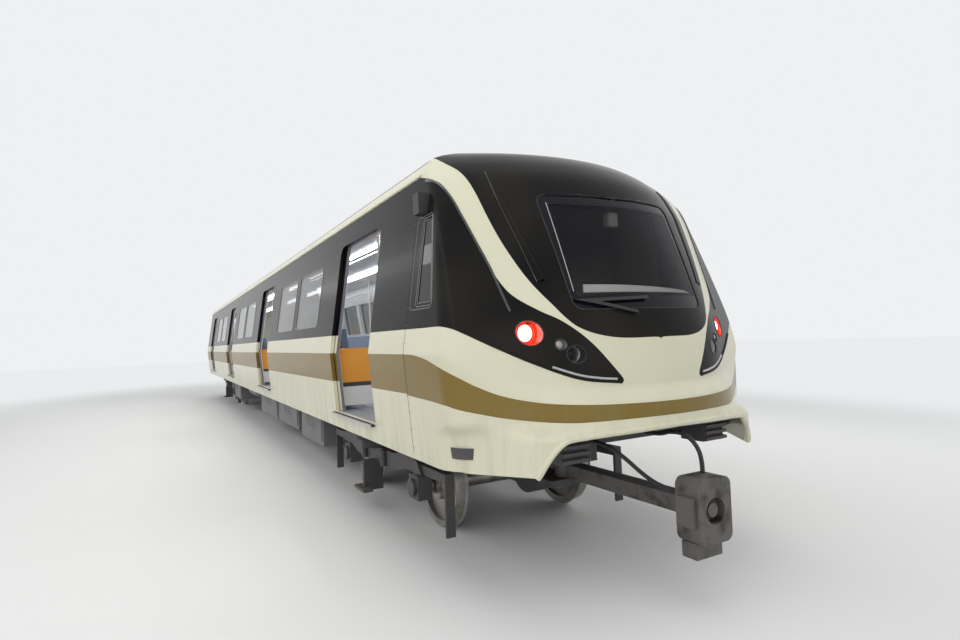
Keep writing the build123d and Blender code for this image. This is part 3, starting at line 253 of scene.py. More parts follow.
def chassis_paint(name, colour, dust=0.5):
    """Matt paint under brake dust."""
    paint = Finish(name)
    patches = paint.noise(3.0, 5.0)
    grain = paint.noise(60.0, 3.0)
    normal = paint.node("ShaderNodeNewGeometry", output="Normal")
    upward = paint.node("ShaderNodeSeparateXYZ", {}, {0: normal}, "Z")
    settled = dust * paint.step(patches + 0.35 * upward, 0.35, 0.95)
    worn = paint.mix(grain * 0.25, colour, shaded(colour, 0.6))
    paint.set("Base Color", paint.mix(settled, worn, BRAKE_DUST))
    paint.set("Roughness", 0.5 + 0.35 * settled)
    paint.bump(grain + patches * 0.5, 0.25)
    return paint.material


chassis_dark = chassis_paint("chassis_paint", (0.055, 0.056, 0.06))
case_grey = chassis_paint("equipment_case_paint", (0.17, 0.175, 0.18), 0.4)
roof_grey = chassis_paint("roof_coating", (0.075, 0.075, 0.078), 0.25)
print("chassis paints", chassis_dark.name, case_grey.name, roof_grey.name)

# %% [markdown]
# Bare metal comes as brushed or turned steel, whose fine lines run one way, and as cast iron,
# which is rough and darkened by grease.

# %% Steel and cast iron
STEEL_DIRT = (0.14, 0.12, 0.10)
BARE_IRON, GREASY_IRON = (0.16, 0.15, 0.145), (0.055, 0.048, 0.042)


def steel(name, colour, roughness, along=(1.0, 40.0, 40.0), dirt=0.25):
    """Steel with fine lines, squeezed across the way they run."""
    metal = Finish(name, Metallic=1.0)
    lines = metal.noise(12.0, 4.0, metal.stretch(*along))
    stains = metal.step(metal.noise(6.0, 4.0), 0.5, 0.8)
    bright = metal.mix(lines * 0.3, colour, shaded(colour, 0.7))
    metal.set("Base Color", metal.mix(dirt * stains, bright, STEEL_DIRT))
    metal.set("Roughness", roughness + 0.15 * lines + 0.3 * dirt * stains)
    metal.bump(lines, 0.12)
    return metal.material


def cast_iron(name):
    metal = Finish(name, Metallic=0.6)
    grain = metal.noise(90.0, 4.0)
    grease = metal.step(metal.noise(7.0, 3.0), 0.45, 0.7)
    metal.set("Base Color", metal.mix(grease, BARE_IRON, GREASY_IRON))
    metal.set("Roughness", 0.6 - 0.25 * grease + 0.1 * grain)
    metal.bump(grain, 0.35)
    return metal.material


brushed_steel = steel("brushed_steel", (0.62, 0.61, 0.59), 0.28)
wheel_steel = steel("wheel_steel", (0.42, 0.40, 0.38), 0.34, (30.0, 1.0, 30.0), 0.6)
coupler_iron = cast_iron("coupler_cast_iron")
print("metals", brushed_steel.name, wheel_steel.name, coupler_iron.name)

# %% [markdown]
# Window glass is tinted and thin, so an alpha that grows towards a grazing view stands for it: it
# lets lamplight through without noise and still shines. The windscreen's black border is opaque.

# %% Glass
CLEAR_VIEW = ((-0.60, 0.62), (2.20, 2.915))
VIEW_FADE = 0.02


def tinted_glass(name, tint, opacity, clear=None, gloss=1.0):
    """Tinted glass, opaque outside its clear part if one is given as (y range, z range)."""
    glass = Finish(name, Roughness=0.03, Coat_Weight=gloss, Coat_Roughness=0.0)
    glass.set("Specular IOR Level", 0.5 * gloss)
    film = glass.noise(3.0, 4.0)
    glass.set("Base Color", glass.mix(film * 0.3, tint, shaded(tint, 2.0)))
    edge = glass.node("ShaderNodeLayerWeight", {}, {"Blend": 0.35}, "Facing")
    alpha = opacity + (1.0 - opacity) * edge * 0.85
    if clear:
        window = (glass.between(glass.axis("Y"), *clear[0], VIEW_FADE)
                  * glass.between(glass.axis("Z"), *clear[1], VIEW_FADE))
        alpha = alpha * window + (1.0 - window)
    glass.set("Alpha", alpha)
    return glass.material


window_glass = tinted_glass("tinted_window_glass", (0.012, 0.015, 0.015), 0.45, gloss=0.6)
cab_glass = tinted_glass("cab_side_glass", (0.008, 0.009, 0.009), 0.88, gloss=0.25)
screen_glass = tinted_glass("windscreen_glass", (0.005, 0.005, 0.008), 0.26, CLEAR_VIEW, 0.2)
print("glass", window_glass.name, cab_glass.name, screen_glass.name)

# %% [markdown]
# Rubber goes grey where it blooms, and moulded plastic is worn a little darker in patches. The
# floor cover and the enamel of the poles are made as plastics too.

# %% Rubber and plastics
RUBBER_BLOOM = (0.09, 0.085, 0.08)


def rubber(name, colour=(0.02, 0.02, 0.021), roughness=0.62):
    black = Finish(name)
    bloom = black.step(black.noise(9.0, 4.0), 0.45, 0.8)
    black.set("Base Color", black.mix(0.3 * bloom, colour, RUBBER_BLOOM))
    black.set("Roughness", roughness + 0.2 * bloom)
    black.bump(black.noise(420.0, 2.0), 0.15)
    return black.material


def plastic(name, colour, roughness=0.35, coat=0.0, speckle=None):
    shell = Finish(name, Coat_Weight=coat, Coat_Roughness=0.1)
    wear = shell.noise(2.5, 4.0)
    shade = shell.mix(0.12 * wear, colour, shaded(colour, 0.75))
    if speckle:
        dots = shell.step(shell.cells(220.0), 0.16, 0.10)
        shade = shell.mix(dots, shade, speckle)
    shell.set("Base Color", shade)
    shell.set("Roughness", roughness + 0.12 * wear)
    shell.bump(shell.noise(500.0, 2.0), 0.10)
    return shell.material


seal_rubber = rubber("seal_rubber")
bellows_rubber = rubber("bellows_fabric_rubber", (0.028, 0.028, 0.03), 0.75)
black_plastic = plastic("black_plastic", (0.02, 0.02, 0.021), 0.42)
lining_white = plastic("saloon_lining", (0.74, 0.74, 0.71), 0.3, coat=0.3)
floor_cover = plastic("speckled_floor_cover", (0.20, 0.21, 0.225), 0.5, speckle=(0.5, 0.5, 0.5))
seat_blue = plastic("blue_seat_shell", (0.10, 0.17, 0.33), 0.32, coat=0.4)
fairing_orange = plastic("orange_screen_panel", (0.80, 0.35, 0.04), 0.3, coat=0.5)
desk_grey = plastic("desk_console", (0.06, 0.064, 0.07), 0.5)
reveal_grey = plastic("door_edge_grey", (0.15, 0.15, 0.18), 0.35, coat=0.4)
pole_enamel = plastic("white_pole_enamel", (0.72, 0.72, 0.71), 0.2, coat=0.6)
frame_grey = plastic("window_frame_grey", (0.15, 0.15, 0.145), 0.34, coat=0.2)
bar_lens = plastic("milky_bar_lens", (0.42, 0.42, 0.43), 0.18, coat=0.8)
print("rubbers 2, plastics 10, such as", lining_white.name)

# %% [markdown]
# Upholstery is woven: threads cross at a fixed pitch, with a painted highlight on their crowns and
# painted shade between them. Sine waves along the piece's own axes give that weave at its true
# scale.

# %% Cloth
THREAD_PITCH = 0.0016
CLOTH_WEAR = (0.10, 0.10, 0.11)


def woven_cloth(name, colour):
    """Crossed threads, with a painted highlight on their crowns, painted shade between them and a
    soft sheen of fluff.
    """
    cloth = Finish(name, Sheen_Weight=0.4, Sheen_Roughness=0.5)
    warp, weft, plait = [abs(cloth.math("SINE", cloth.axis(letter) * (pi / THREAD_PITCH)))
                         for letter in "XYZ"]
    weave = (warp + weft + plait) * 0.33
    worn = cloth.noise(7.0, 4.0)
    # Painted highlight on the crowns of the threads, painted shade in the hollows between them.
    thread = cloth.mix(weave, shaded(colour, 0.55), shaded(colour, 1.5))
    cloth.set("Base Color", cloth.mix(0.25 * worn, thread, CLOTH_WEAR))
    cloth.set("Roughness", 0.8 + 0.15 * worn)
    cloth.bump(weave, 0.5, 0.0006)
    return cloth.material


seat_cloth = woven_cloth("driver_seat_cloth", (0.03, 0.031, 0.038))
print("cloth", seat_cloth.name, "thread", THREAD_PITCH, "m")

# %% [markdown]
# Three finishes are laid out by place: a draught screen changes at set heights, a sill has a dark
# grooved strip along its middle, and a hose has patches of dust.

# %% Screens, sills and hoses
SCREEN_LEVELS = (1.40, 1.45, 1.85)
LEVEL_FADE = 0.002
SILL_STRIP = (1.505, 1.541)
SILL_RIB_PITCH = 0.006


def screen_panels(name):
    """A white foot, a dark strip, an orange panel and glass above."""
    screen = Finish(name, Roughness=0.28, Coat_Weight=0.4)
    height, mottle = screen.axis("Z"), screen.noise(4.0, 3.0)
    on_strip, on_panel, on_glass = [screen.step(height, level - LEVEL_FADE, level + LEVEL_FADE)
                                    for level in SCREEN_LEVELS]
    foot = screen.mix(on_strip, (0.70, 0.70, 0.69), (0.03, 0.03, 0.032))
    orange = screen.mix(0.2 * mottle, (0.80, 0.33, 0.035), (0.66, 0.26, 0.03))
    lower = screen.mix(on_panel, foot, orange)
    screen.set("Base Color", screen.mix(on_glass, lower, (0.30, 0.33, 0.33)))
    screen.set("Alpha", 1.0 - 0.78 * on_glass)
    return screen.material


def grooved_sill(name):
    """Steel tread plate with a black grooved strip along its middle."""
    sill = Finish(name)
    across = abs(sill.axis("Y"))
    strip_share = sill.between(across, *SILL_STRIP, LEVEL_FADE)
    ribs = sill.math("SINE", across * (2 * pi / SILL_RIB_PITCH))
    scratches = sill.noise(14.0, 4.0, sill.stretch(1.0, 40.0, 40.0))
    bright = sill.mix(0.4 * scratches, (0.60, 0.60, 0.58), (0.40, 0.39, 0.37))
    sill.set("Base Color", sill.mix(strip_share, bright, (0.02, 0.02, 0.02)))
    sill.set("Metallic", 1.0 - strip_share)
    sill.set("Roughness", 0.3 + 0.3 * strip_share + 0.1 * scratches)
    sill.bump(ribs * strip_share, 0.6, 0.002)
    return sill.material


def corrugated(name):
    """Hose rubber with patches of dust."""
    hose = Finish(name)
    dust = hose.step(hose.noise(14.0, 4.0), 0.4, 0.75)
    hose.set("Base Color", hose.mix(0.4 * dust, (0.016, 0.016, 0.018), (0.085, 0.078, 0.068)))
    hose.set("Roughness", 0.5 + 0.3 * dust)
    hose.bump(hose.noise(300.0, 2.0), 0.2)
    return hose.material


draught_finish = screen_panels("draught_screen_panels")
sill_finish = grooved_sill("grooved_sill_plate")
hose_rubber = corrugated("corrugated_hose_rubber")
print("laid-out finishes", draught_finish.name, sill_finish.name, hose_rubber.name)

# %% [markdown]
# A lamp's face glows. Its brightness is one number for the whole face, and only its colour varies.

# %% Glowing faces


def glowing(name, colour, strength):
    lamp = Finish(name, Roughness=0.3)
    lamp.set("Base Color", colour)
    lamp.set("Emission Color", lamp.mix(0.1 * lamp.noise(30.0), colour, (1.0, 1.0, 1.0)))
    lamp.set("Emission Strength", strength)
    return lamp.material


hot_disc = glowing("hot_lamp_disc", (1.0, 0.80, 0.72), 1.9)
ceiling_light = glowing("ceiling_light_panel", (0.93, 0.95, 1.0), 9.0)
print("glowing", hot_disc.name, ceiling_light.name)

# %% [markdown]
# A CAD mesh may not be changed, so a node that needs several paints is copied: its loose triangles
# are merged, cut where the stripes run, and each face gets the paint of its height. The copy then
# stands for the node.

# %% Piece helpers
SMOOTH_ANGLE = radians(35)


def copy_of(*names):
    """The meshes of some CAD nodes, merged into one bmesh."""
    bm = bmesh.new()
    for name in names:
        bm.from_mesh(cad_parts[name].data)
    bmesh.ops.remove_doubles(bm, verts=bm.verts, dist=0.00005)
    bm.normal_update()
    return bm


def islands(bm):
    """The faces of each loose part."""
    groups, seen = [], set()
    for start in bm.faces:
        if start in seen:
            continue
        group, queue = [], [start]
        seen.add(start)
        while queue:
            face = queue.pop()
            group.append(face)
            for edge in face.edges:
                for other in edge.link_faces:
                    if other not in seen:
                        seen.add(other)
                        queue.append(other)
        groups.append(group)
    return groups


def reach(faces):
    """Lowest and highest corner of some faces."""
    points = [vert.co for face in faces for vert in face.verts]
    return (Vector([min(p[axis] for p in points) for axis in range(3)]),
            Vector([max(p[axis] for p in points) for axis in range(3)]))


def cut_level(bm, height):
    """Cut every face along a level plane."""
    bmesh.ops.bisect_plane(bm, geom=bm.verts[:] + bm.edges[:] + bm.faces[:], dist=0.00002,
                           plane_co=(0, 0, height), plane_no=(0, 0, 1))


def soften(bm):
    """Smooth shading, with the edges of sharp corners kept."""
    for face in bm.faces:
        face.smooth = True
    for edge in bm.edges:
        edge.smooth = len(edge.link_faces) == 2 and edge.calc_face_angle(0.0) < SMOOTH_ANGLE


def make_piece(bm, name, body, materials, replaces=()):
    """Turn a bmesh into a piece that rides on a body, if one is named."""
    soften(bm)
    mesh = bpy.data.meshes.new(name)
    bm.to_mesh(mesh)
    bm.free()
    for material in materials:
        mesh.materials.append(material)
    piece = bpy.data.objects.new(name, mesh)
    bpy.context.scene.collection.objects.link(piece)
    if body:
        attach(piece, body)
    if replaces:
        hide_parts(*replaces)
    return piece


def dress(material, *names):
    """Give CAD nodes a finish."""
    for name in names:
        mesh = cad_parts[name].data
        mesh.materials.clear()
        mesh.materials.append(material)


print("piece helpers ready, smooth below", round(SMOOTH_ANGLE, 3), "radians")

# %% [markdown]
# The livery: cream below, a gold-brown band at the waist, a cream line and gloss black round the
# windows. The bands run level along the walls and across the closed leaves.

# %% Side walls
SIDES = (("right", -1), ("left", 1))
GOLD_LOW, GOLD_HIGH, BLACK_LOW, BLACK_HIGH = 1.478, 1.80, 2.00, 3.27
CREAM_SLOT, GOLD_SLOT, BLACK_SLOT, EDGE_SLOT, GLASS_SLOT = range(5)
livery = [cream_paint, gold_paint, black_paint, reveal_grey, window_glass]


def band_of(face):
    """Place in livery of the paint at a face's height."""
    height = face.calc_center_median().z
    if GOLD_LOW < height < GOLD_HIGH:
        return GOLD_SLOT
    return BLACK_SLOT if BLACK_LOW < height < BLACK_HIGH else CREAM_SLOT


def striped_copy(name):
    """A copy of a wall or a leaf, cut where its stripes meet."""
    bm = copy_of(name)
    for level in (GOLD_LOW, GOLD_HIGH, BLACK_LOW):
        cut_level(bm, level)
    return bm


for side_name, side in SIDES:
    wall = striped_copy(f"side_wall_{side_name}")
    for face in wall.faces:
        face.material_index = band_of(face)
    make_piece(wall, f"painted_wall_{side_name}", "car_body", livery,
               (f"side_wall_{side_name}",))
print("walls", [side_name for side_name, _ in SIDES])

# %% [markdown]
# A leaf is painted outside only: its edges are grey enamel. Its smallest loose part is the pane,
# whose corners are kept for the rubber seal that is made later.

# %% Door leaves
FACING = 0.7
leaf_panes = {}
for name in sorted(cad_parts):
    if not name.startswith("door_") or "sills" in name:
        continue
    side = -1 if "right" in name else 1
    leaf = striped_copy(name)
    for face in leaf.faces:
        face.material_index = band_of(face) if face.normal.y * side > FACING else EDGE_SLOT
    bmesh.ops.recalc_face_normals(leaf, faces=leaf.faces)
    pane = min(islands(leaf), key=lambda group: sum(face.calc_area() for face in group))
    leaf_panes[name] = reach(pane)
    for face in pane:
        face.material_index = GLASS_SLOT
    make_piece(leaf, f"painted_{name}", name, livery, (name,))
print("leaves", len(leaf_panes))

# %% [markdown]
# The roof is one dark coating above a cream rail, and the floor has a speckled cover on top and
# chassis paint below. Nodes whose shape needs no cut are only given their finish.

# %% Roof, floor and other nodes
CREAM_RAIL = 3.39
COVER_DEPTH = 0.005
roof = copy_of("roof_shell")
cut_level(roof, CREAM_RAIL)
for face in roof.faces:
    face.material_index = 0 if face.calc_center_median().z > CREAM_RAIL else 1
make_piece(roof, "roof_skin", "car_body", [roof_grey, cream_paint], ("roof_shell",))

underframe = copy_of("floor")
floor_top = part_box("floor")[1][2]
for face in underframe.faces:
    at_top = face.calc_center_median().z > floor_top - COVER_DEPTH
    face.material_index = 1 if at_top and face.normal.z > FACING else 0
make_piece(underframe, "underframe_and_floor", "car_body", [chassis_dark, floor_cover],
           ("floor",))

dress(roof_grey, "cooling_units")
dress(cream_paint, "end_wall")
dress(bellows_rubber, "gangway_bellows")
dress(chassis_dark, "anticlimbers", "bogie_front_frame", "bogie_rear_frame")
dress(case_grey, "underfloor_equipment", "bogie_front_drives", "bogie_rear_drives")
dress(seal_rubber, "bogie_front_air_springs", "bogie_rear_air_springs")
dress(coupler_iron, "coupler_head", "coupler_shank", "rear_drawbar")
dress(wheel_steel, *[f"wheelset_{bogie}_{end}" for bogie in ("front", "rear")
                     for end in ("leading", "trailing")])
dress(sill_finish, "door_sills")
dress(pole_enamel, "grab_poles")
dress(draught_finish, "draught_screens")
dress(lining_white, "lining", "cab_bulkhead", "cab_door")
dress(seat_blue, "seats")
dress(desk_grey, "cab_desk")
dress(window_glass, "saloon_windows")
dress(cab_glass, "cab_windows")
dress(black_plastic, "side_cameras", "wiper")
print("roof, floor at", round(floor_top, 3), "m and the dressed nodes")

# %% [markdown]
# The mask is one smooth form: a raked nose that runs into the flat sides over a soft crease, with a
# bumper that juts out below the belt. A few tables of measured points give its lines.

# %% Lines of the mask
SEAM_X = 10.0
WAIST, WAIST_HALF = 1.80, 1.55
LOWER_LEAN, UPPER_LEAN = 0.0836, 0.1463
EAVE, ROOF, CANTRAIL_RADIUS = 3.392, 3.72, 0.26
NOSE = [(1.30, 11.33), (1.56, 11.33), (1.87, 11.285), (2.20, 11.178), (2.915, 10.882),
        (3.06, 10.80), (3.20, 10.70), (3.32, 10.57), (3.40, 10.46), (3.49, 10.30), (3.56, 10.10),
        (3.62, 9.86), (3.68, 9.42)]
BUMPER_TIP = 11.43
BUMPER = [(0.85, 11.44), (1.20, 11.445), (1.31, BUMPER_TIP), (1.90, BUMPER_TIP)]
BELT_TOP = [(10.00, 1.80), (10.14, 1.80), (10.43, 1.765), (10.746, 1.674), (10.85, 1.582),
            (10.935, 1.514), (11.024, 1.473), (11.113, 1.444), (11.267, 1.42), (BUMPER_TIP, 1.41)]
BELT_FOOT = [(10.00, 1.465), (10.711, 1.433), (10.882, 1.376), (11.021, 1.33), (11.143, 1.31),
             (11.246, 1.30), (BUMPER_TIP, 1.31)]
# Plan of the front: radius of its arc, where the arc ends, slope of the flanks beyond
NOSE_BEND = (1.90, 0.85, 0.5)
BELT_BEND = (1.70, 0.95, 0.6745)
CHIN_BEND = (2.40, 1.06, 1.42)
CHIN_RISES = (1.19, 1.31)
CREASE_SOFTNESS = 0.09
CREASE_GROWS_OVER = 0.15
SHELF_RISE = 0.12


def smooth_step(value, start, end):
    t = min(max((value - start) / (end - start), 0.0), 1.0)
    return t * t * (3 - 2 * t)


def along_table(table, place):
    """Value of a smooth line through rows of (place, value)."""
    last = len(table) - 1
    place = min(max(place, table[0][0]), table[last][0])
    row = next(i for i in range(last) if place <= table[i + 1][0])

    def slope(i):
        before, after = table[max(i - 1, 0)], table[min(i + 1, last)]
        return (after[1] - before[1]) / (after[0] - before[0])

    (start, low), (end, high) = table[row], table[row + 1]
    span = end - start
    t = (place - start) / span
    return ((2 * t ** 3 - 3 * t ** 2 + 1) * low + (t ** 3 - 2 * t ** 2 + t) * span * slope(row)
            + (3 * t ** 2 - 2 * t ** 3) * high + (t ** 3 - t ** 2) * span * slope(row + 1))


def setback(y, bend):
    """How far the plan of the nose falls back at a distance from the centre line."""
    radius, straight_from, slope = bend
    y = abs(y)
    arc = radius - sqrt(radius ** 2 - min(y, straight_from) ** 2)
    return arc + max(y - straight_from, 0.0) * slope


def bumper_front(y, z):
    """Lengthwise place of the bumper: a chin that juts forward below the belt."""
    belt_share = smooth_step(z, *CHIN_RISES)
    back = setback(y, CHIN_BEND) * (1 - belt_share) + setback(y, BELT_BEND) * belt_share
    return along_table(BUMPER, z) - back


print("nose at the waist", round(along_table(NOSE, WAIST), 3), "bumper", BUMPER_TIP)

# %% [markdown]
# The body's section is two leaning flanks under an arched roof, joined by a cantrail: a circle that
# touches both. Its centre lies where a line inside the flank meets an arc inside the roof. Solving
# for it once is exact, where a bevel of the corner would only come near it.

# %% Section of the body
eave_half = WAIST_HALF - UPPER_LEAN * (EAVE - WAIST)
roof_radius = (eave_half ** 2 + (ROOF - EAVE) ** 2) / (2 * (ROOF - EAVE))
roof_centre = ROOF - roof_radius
lean_length = sqrt(1 + UPPER_LEAN ** 2)
inner_half = WAIST_HALF - CANTRAIL_RADIUS * lean_length
inner_radius = roof_radius - CANTRAIL_RADIUS
lift = WAIST - roof_centre
quadratic = (1 + UPPER_LEAN ** 2, 2 * (lift - UPPER_LEAN * inner_half),
             inner_half ** 2 + lift ** 2 - inner_radius ** 2)
rise = ((-quadratic[1] + sqrt(quadratic[1] ** 2 - 4 * quadratic[0] * quadratic[2]))
        / (2 * quadratic[0]))
cantrail_z = WAIST + rise
cantrail_y = inner_half - UPPER_LEAN * rise
side_ends = cantrail_z + CANTRAIL_RADIUS * UPPER_LEAN / lean_length
roof_starts = roof_centre + (cantrail_z - roof_centre) * roof_radius / inner_radius


def half_width(z):
    """Half of the body's width at a height, with the rounded cantrail and the arched roof."""
    if z < WAIST:
        return WAIST_HALF - LOWER_LEAN * (WAIST - z)
    if z < side_ends:
        return WAIST_HALF - UPPER_LEAN * (z - WAIST)
    if z < roof_starts:
        return cantrail_y + sqrt(CANTRAIL_RADIUS ** 2 - (z - cantrail_z) ** 2)
    return sqrt(max(roof_radius ** 2 - (z - roof_centre) ** 2, 0.0001))


print("cantrail at", round(cantrail_y, 3), round(cantrail_z, 3))

# %% [markdown]
# Measuring how far a point lies outside the form, and moving it there along the steepest way, lets
# every panel be a plain grid that hugs the form. A shrinkwrap onto a subdivided cage could do the
# same, but a formula has no facets that gloss would show.

# %% Distance from the mask
SLOPE_STEP, WIDTH_STEP, NUDGE = 0.01, 0.005, 0.0005
CLOSE_ENOUGH = 0.00005


def slope_of(line, place, step):
    """Slope of a line at a place, measured a step to both sides."""
    return (line(place + step) - line(place - step)) / (2 * step)


def outside(p, shaped=True):
    """How far a point lies outside the mask, with or without the bumper's shelf."""
    y, z = abs(p[1]), p[2]
    face_x = along_table(NOSE, z) - setback(y, NOSE_BEND)
    bumper_share = 0.0
    if shaped:
        above_belt = z - along_table(BELT_TOP, p[0])
        bumper_share = 1 - smooth_step(above_belt, 0.0, SHELF_RISE)
        face_x += (bumper_front(y, z) - face_x) * bumper_share
    nose_slope = slope_of(lambda height: along_table(NOSE, height), z, SLOPE_STEP)
    if bumper_share > 0.5:
        plan_slope = slope_of(lambda width: bumper_front(width, z), y, SLOPE_STEP)
    else:
        plan_slope = slope_of(lambda width: setback(width, NOSE_BEND), y, SLOPE_STEP)
    front = (p[0] - face_x) / sqrt(1 + nose_slope ** 2 + plan_slope ** 2)
    flank = (y - half_width(z)) / sqrt(1 + slope_of(half_width, z, WIDTH_STEP) ** 2)
    creased = smooth_step(p[0], SEAM_X, SEAM_X + CREASE_GROWS_OVER)
    softness = 0.002 + CREASE_SOFTNESS * creased
    blend = max(softness - abs(front - flank), 0.0) / softness
    return max(front, flank) + blend * blend * softness / 4


def outward(p, lock_x=False):
    """Direction straight out of the plain mask at a point."""
    here = outside(p, False)
    way = Vector((0, 0, 0))
    for axis in ((1, 2) if lock_x else (0, 1, 2)):
        moved = Vector(p)
        moved[axis] += NUDGE
        way[axis] = outside(moved, False) - here
    return way.normalized()


def hug(point, lock_x=False):
    """The point of the mask's skin next to a point, at the same x if it is locked."""
    p = Vector(point)
    for _ in range(9):
        here = outside(p)
        if abs(here) < CLOSE_ENOUGH:
            break
        way = outward(p, lock_x)
        p -= way * here / max((outside(p + NUDGE * way) - here) / NUDGE, 0.3)
    return p


def on_nose(y, z):
    """Point of the raked nose at a place seen from the front."""
    return hug((along_table(NOSE, z) - setback(y, NOSE_BEND), y, z))


print("roof centre line at the seam", tuple(round(c, 3) for c in hug((SEAM_X, 0, 3.6), True)))

# %% [markdown]
# Each panel is a grid between two edges. The edges are smooth lines through a few points on the
# nose, and neighbouring panels share them, so that no gap opens between them. Meshes drawn panel by
# panel would need their borders matched by hand.

# %% Lines and grids
MIRROR_GAP, PANEL_WELD = 0.0008, 0.0004


def through(points):
    """Smooth line through points, as a function from 0 to 1."""
    points = [Vector(p) for p in points]
    travelled = [0.0]
    for before, after in zip(points, points[1:]):
        travelled.append(travelled[-1] + (after - before).length)
    shares = [way / travelled[-1] for way in travelled]
    tables = [[(share, p[axis]) for share, p in zip(shares, points)] for axis in range(3)]
    return lambda t: Vector([along_table(table, t) for table in tables])


def piece_of(line, start, end):
    """Stretch of a line, again as a function from 0 to 1."""
    return lambda t: line(start + (end - start) * t)


def chain(*stretches):
    """Lines joined end to end, each given with the share of the whole that it takes."""
    def joined(t):
        for share, line in stretches:
            if t <= share or (share, line) == stretches[-1]:
                return line(min(t / share, 1.0))
            t -= share
        return None
    return joined


def grid(columns, rows, place):
    """Flat grid whose points go where place(u, v) says."""
    bm = bmesh.new()
    bmesh.ops.create_grid(bm, x_segments=columns, y_segments=rows, size=0.5)
    for vert in bm.verts:
        vert.co = place(vert.co.x + 0.5, vert.co.y + 0.5)
    return bm


def strip(columns, rows, first, second, seam_at=()):
    """Grid on the mask between two lines, held in the seam's plane where u is one of seam_at."""
    def place(u, v):
        at_seam = any(abs(u - s) < 0.001 for s in seam_at)
        return hug(first(u).lerp(second(u), v), at_seam)
    return grid(columns, rows, place)


def close_up(bm, gap):
    """Weld points nearer than a gap and turn every face outwards."""
    bmesh.ops.remove_doubles(bm, verts=bm.verts, dist=gap)
    bmesh.ops.recalc_face_normals(bm, faces=bm.faces)
    return bm


def both_halves(bm):
    """Mirror a half across the car's centre line and weld the two."""
    bmesh.ops.mirror(bm, geom=bm.verts[:] + bm.edges[:] + bm.faces[:], axis="Y",
                     merge_dist=MIRROR_GAP)
    close_up(bm, PANEL_WELD)


print("middle of the seam to the waist", tuple(through([(10, 0, 3.585), (10, 1.5, 1.8)])(0.5)))

# %% [markdown]
# Solidify gives a panel its thickness, and a small bevel rounds its rim, so two panels that meet
# show the fine dark joint of real ones. Windows and lamp holes are cut with exact booleans, and
# each modifier is applied at once, so the next one works on a finished mesh.

# %% Panels
PANEL_THICKNESS = 0.035
RIM_BEVEL, RIM_ANGLE = 0.004, radians(50)
MASK_CENTRE = Vector((9.0, 0.0, 1.8))


def settle(piece):
    """Apply a piece's modifiers to its mesh."""
    graph = bpy.context.evaluated_depsgraph_get()
    mesh = bpy.data.meshes.new_from_object(piece.evaluated_get(graph), depsgraph=graph)
    piece.modifiers.clear()
    piece.data = mesh


def cut_away(piece, cutters):
    """Take closed shapes out of a piece."""
    for cutter in cutters:
        mesh = bpy.data.meshes.new("cutter")
        cutter.to_mesh(mesh)
        cutter.free()
        tool = bpy.data.objects.new("cutter", mesh)
        bpy.context.scene.collection.objects.link(tool)
        boolean = piece.modifiers.new("cut", "BOOLEAN")
        boolean.object = tool
        boolean.operation = "DIFFERENCE"
        boolean.solver = "EXACT"
        settle(piece)
        bpy.data.objects.remove(tool)


def panel(bm, name, material, replaces=(), cutters=(), thickness=PANEL_THICKNESS):
    """Give a skin its thickness and a rounded rim, and make it a piece of the body."""
    out = sum(face.normal.dot(face.calc_center_median() - MASK_CENTRE) for face in bm.faces)
    if out < 0:
        bmesh.ops.reverse_faces(bm, faces=bm.faces)
    piece = make_piece(bm, name, "car_body", [material], replaces)
    solid = piece.modifiers.new("thickness", "SOLIDIFY")
    solid.thickness = thickness
    solid.offset = -1
    settle(piece)
    cut_away(piece, cutters)
    rim = piece.modifiers.new("rim", "BEVEL")
    rim.width = RIM_BEVEL
    rim.segments = 2
    rim.limit_method = "ANGLE"
    rim.angle_limit = RIM_ANGLE
    even = piece.modifiers.new("even shading", "WEIGHTED_NORMAL")
    even.keep_sharp = True
    settle(piece)
    print(name, len(piece.data.polygons), "faces")


print("panels", PANEL_THICKNESS, "m thick")

# %% [markdown]
# The hood frames the windscreen, so its half is a ring: from the outline of the glass to the
# outline of the hood, corner to corner. Both outlines start at the top centre.

# %% Hood
HOOD_EDGE = [(10.0, 1.195, 3.375), (10.151, 1.175, 3.337), (10.276, 1.135, 3.27),
             (10.422, 1.102, 3.124), (10.608, 1.064, 2.832), (10.735, 1.008, 2.594),
             (10.887, 0.916, 2.337), (11.012, 0.81, 2.151), (11.139, 0.656, 1.958),
             (11.239, 0.407, 1.877), (11.286, 0.0, 1.865)]
SEAM_CROWN, SEAM_FALL = 3.585, 0.12
SCREEN_HEAD, SCREEN_FOOT = 3.01, 2.085
SCREEN_HEAD_HALF, SCREEN_FOOT_HALF, SCREEN_CORNER = 0.690, 0.655, 0.07
SCREEN_TURNS = (0, 4, 10, 14)
HOOD_TURN = 0.80


def screen_outline(gap=0.0):
    """Half outline of the windscreen from top centre to bottom centre, moved in by a gap."""
    head, foot = SCREEN_HEAD - gap, SCREEN_FOOT + gap
    head_half, foot_half = SCREEN_HEAD_HALF - gap, SCREEN_FOOT_HALF - gap
    r = SCREEN_CORNER - gap
    bend = [(sin(a), 1 - cos(a)) for a in (pi / 8, pi / 4, 3 * pi / 8)]
    top = [(0, head), (head_half / 2, head), (head_half - r, head)]
    upper = [(head_half - r + r * s, head - r * c) for s, c in bend]
    side = [(head_half, head - r), ((head_half + foot_half) / 2, (head + foot) / 2),
            (foot_half, foot + r)]
    lower = [(foot_half - r * c, foot + r - r * s) for s, c in bend]
    bottom = [(foot_half - r, foot), (foot_half / 2, foot), (0, foot)]
    return [on_nose(y, z) for y, z in top + upper + side + lower + bottom]


def ring_line(points, turns):
    """Line through points, of which those where it turns fall at even shares."""
    return chain(*[(1 / (len(turns) - 1), through(points[start:end + 1]))
                   for start, end in zip(turns, turns[1:])])


def hood_place(u, v):
    """Point of the hood, from the glass to its own edge, whose first third is the seam."""
    on_seam = v > 0.999 and u < 0.334
    return hug(glass_outline(u).lerp(hood_outline(u), v), on_seam)


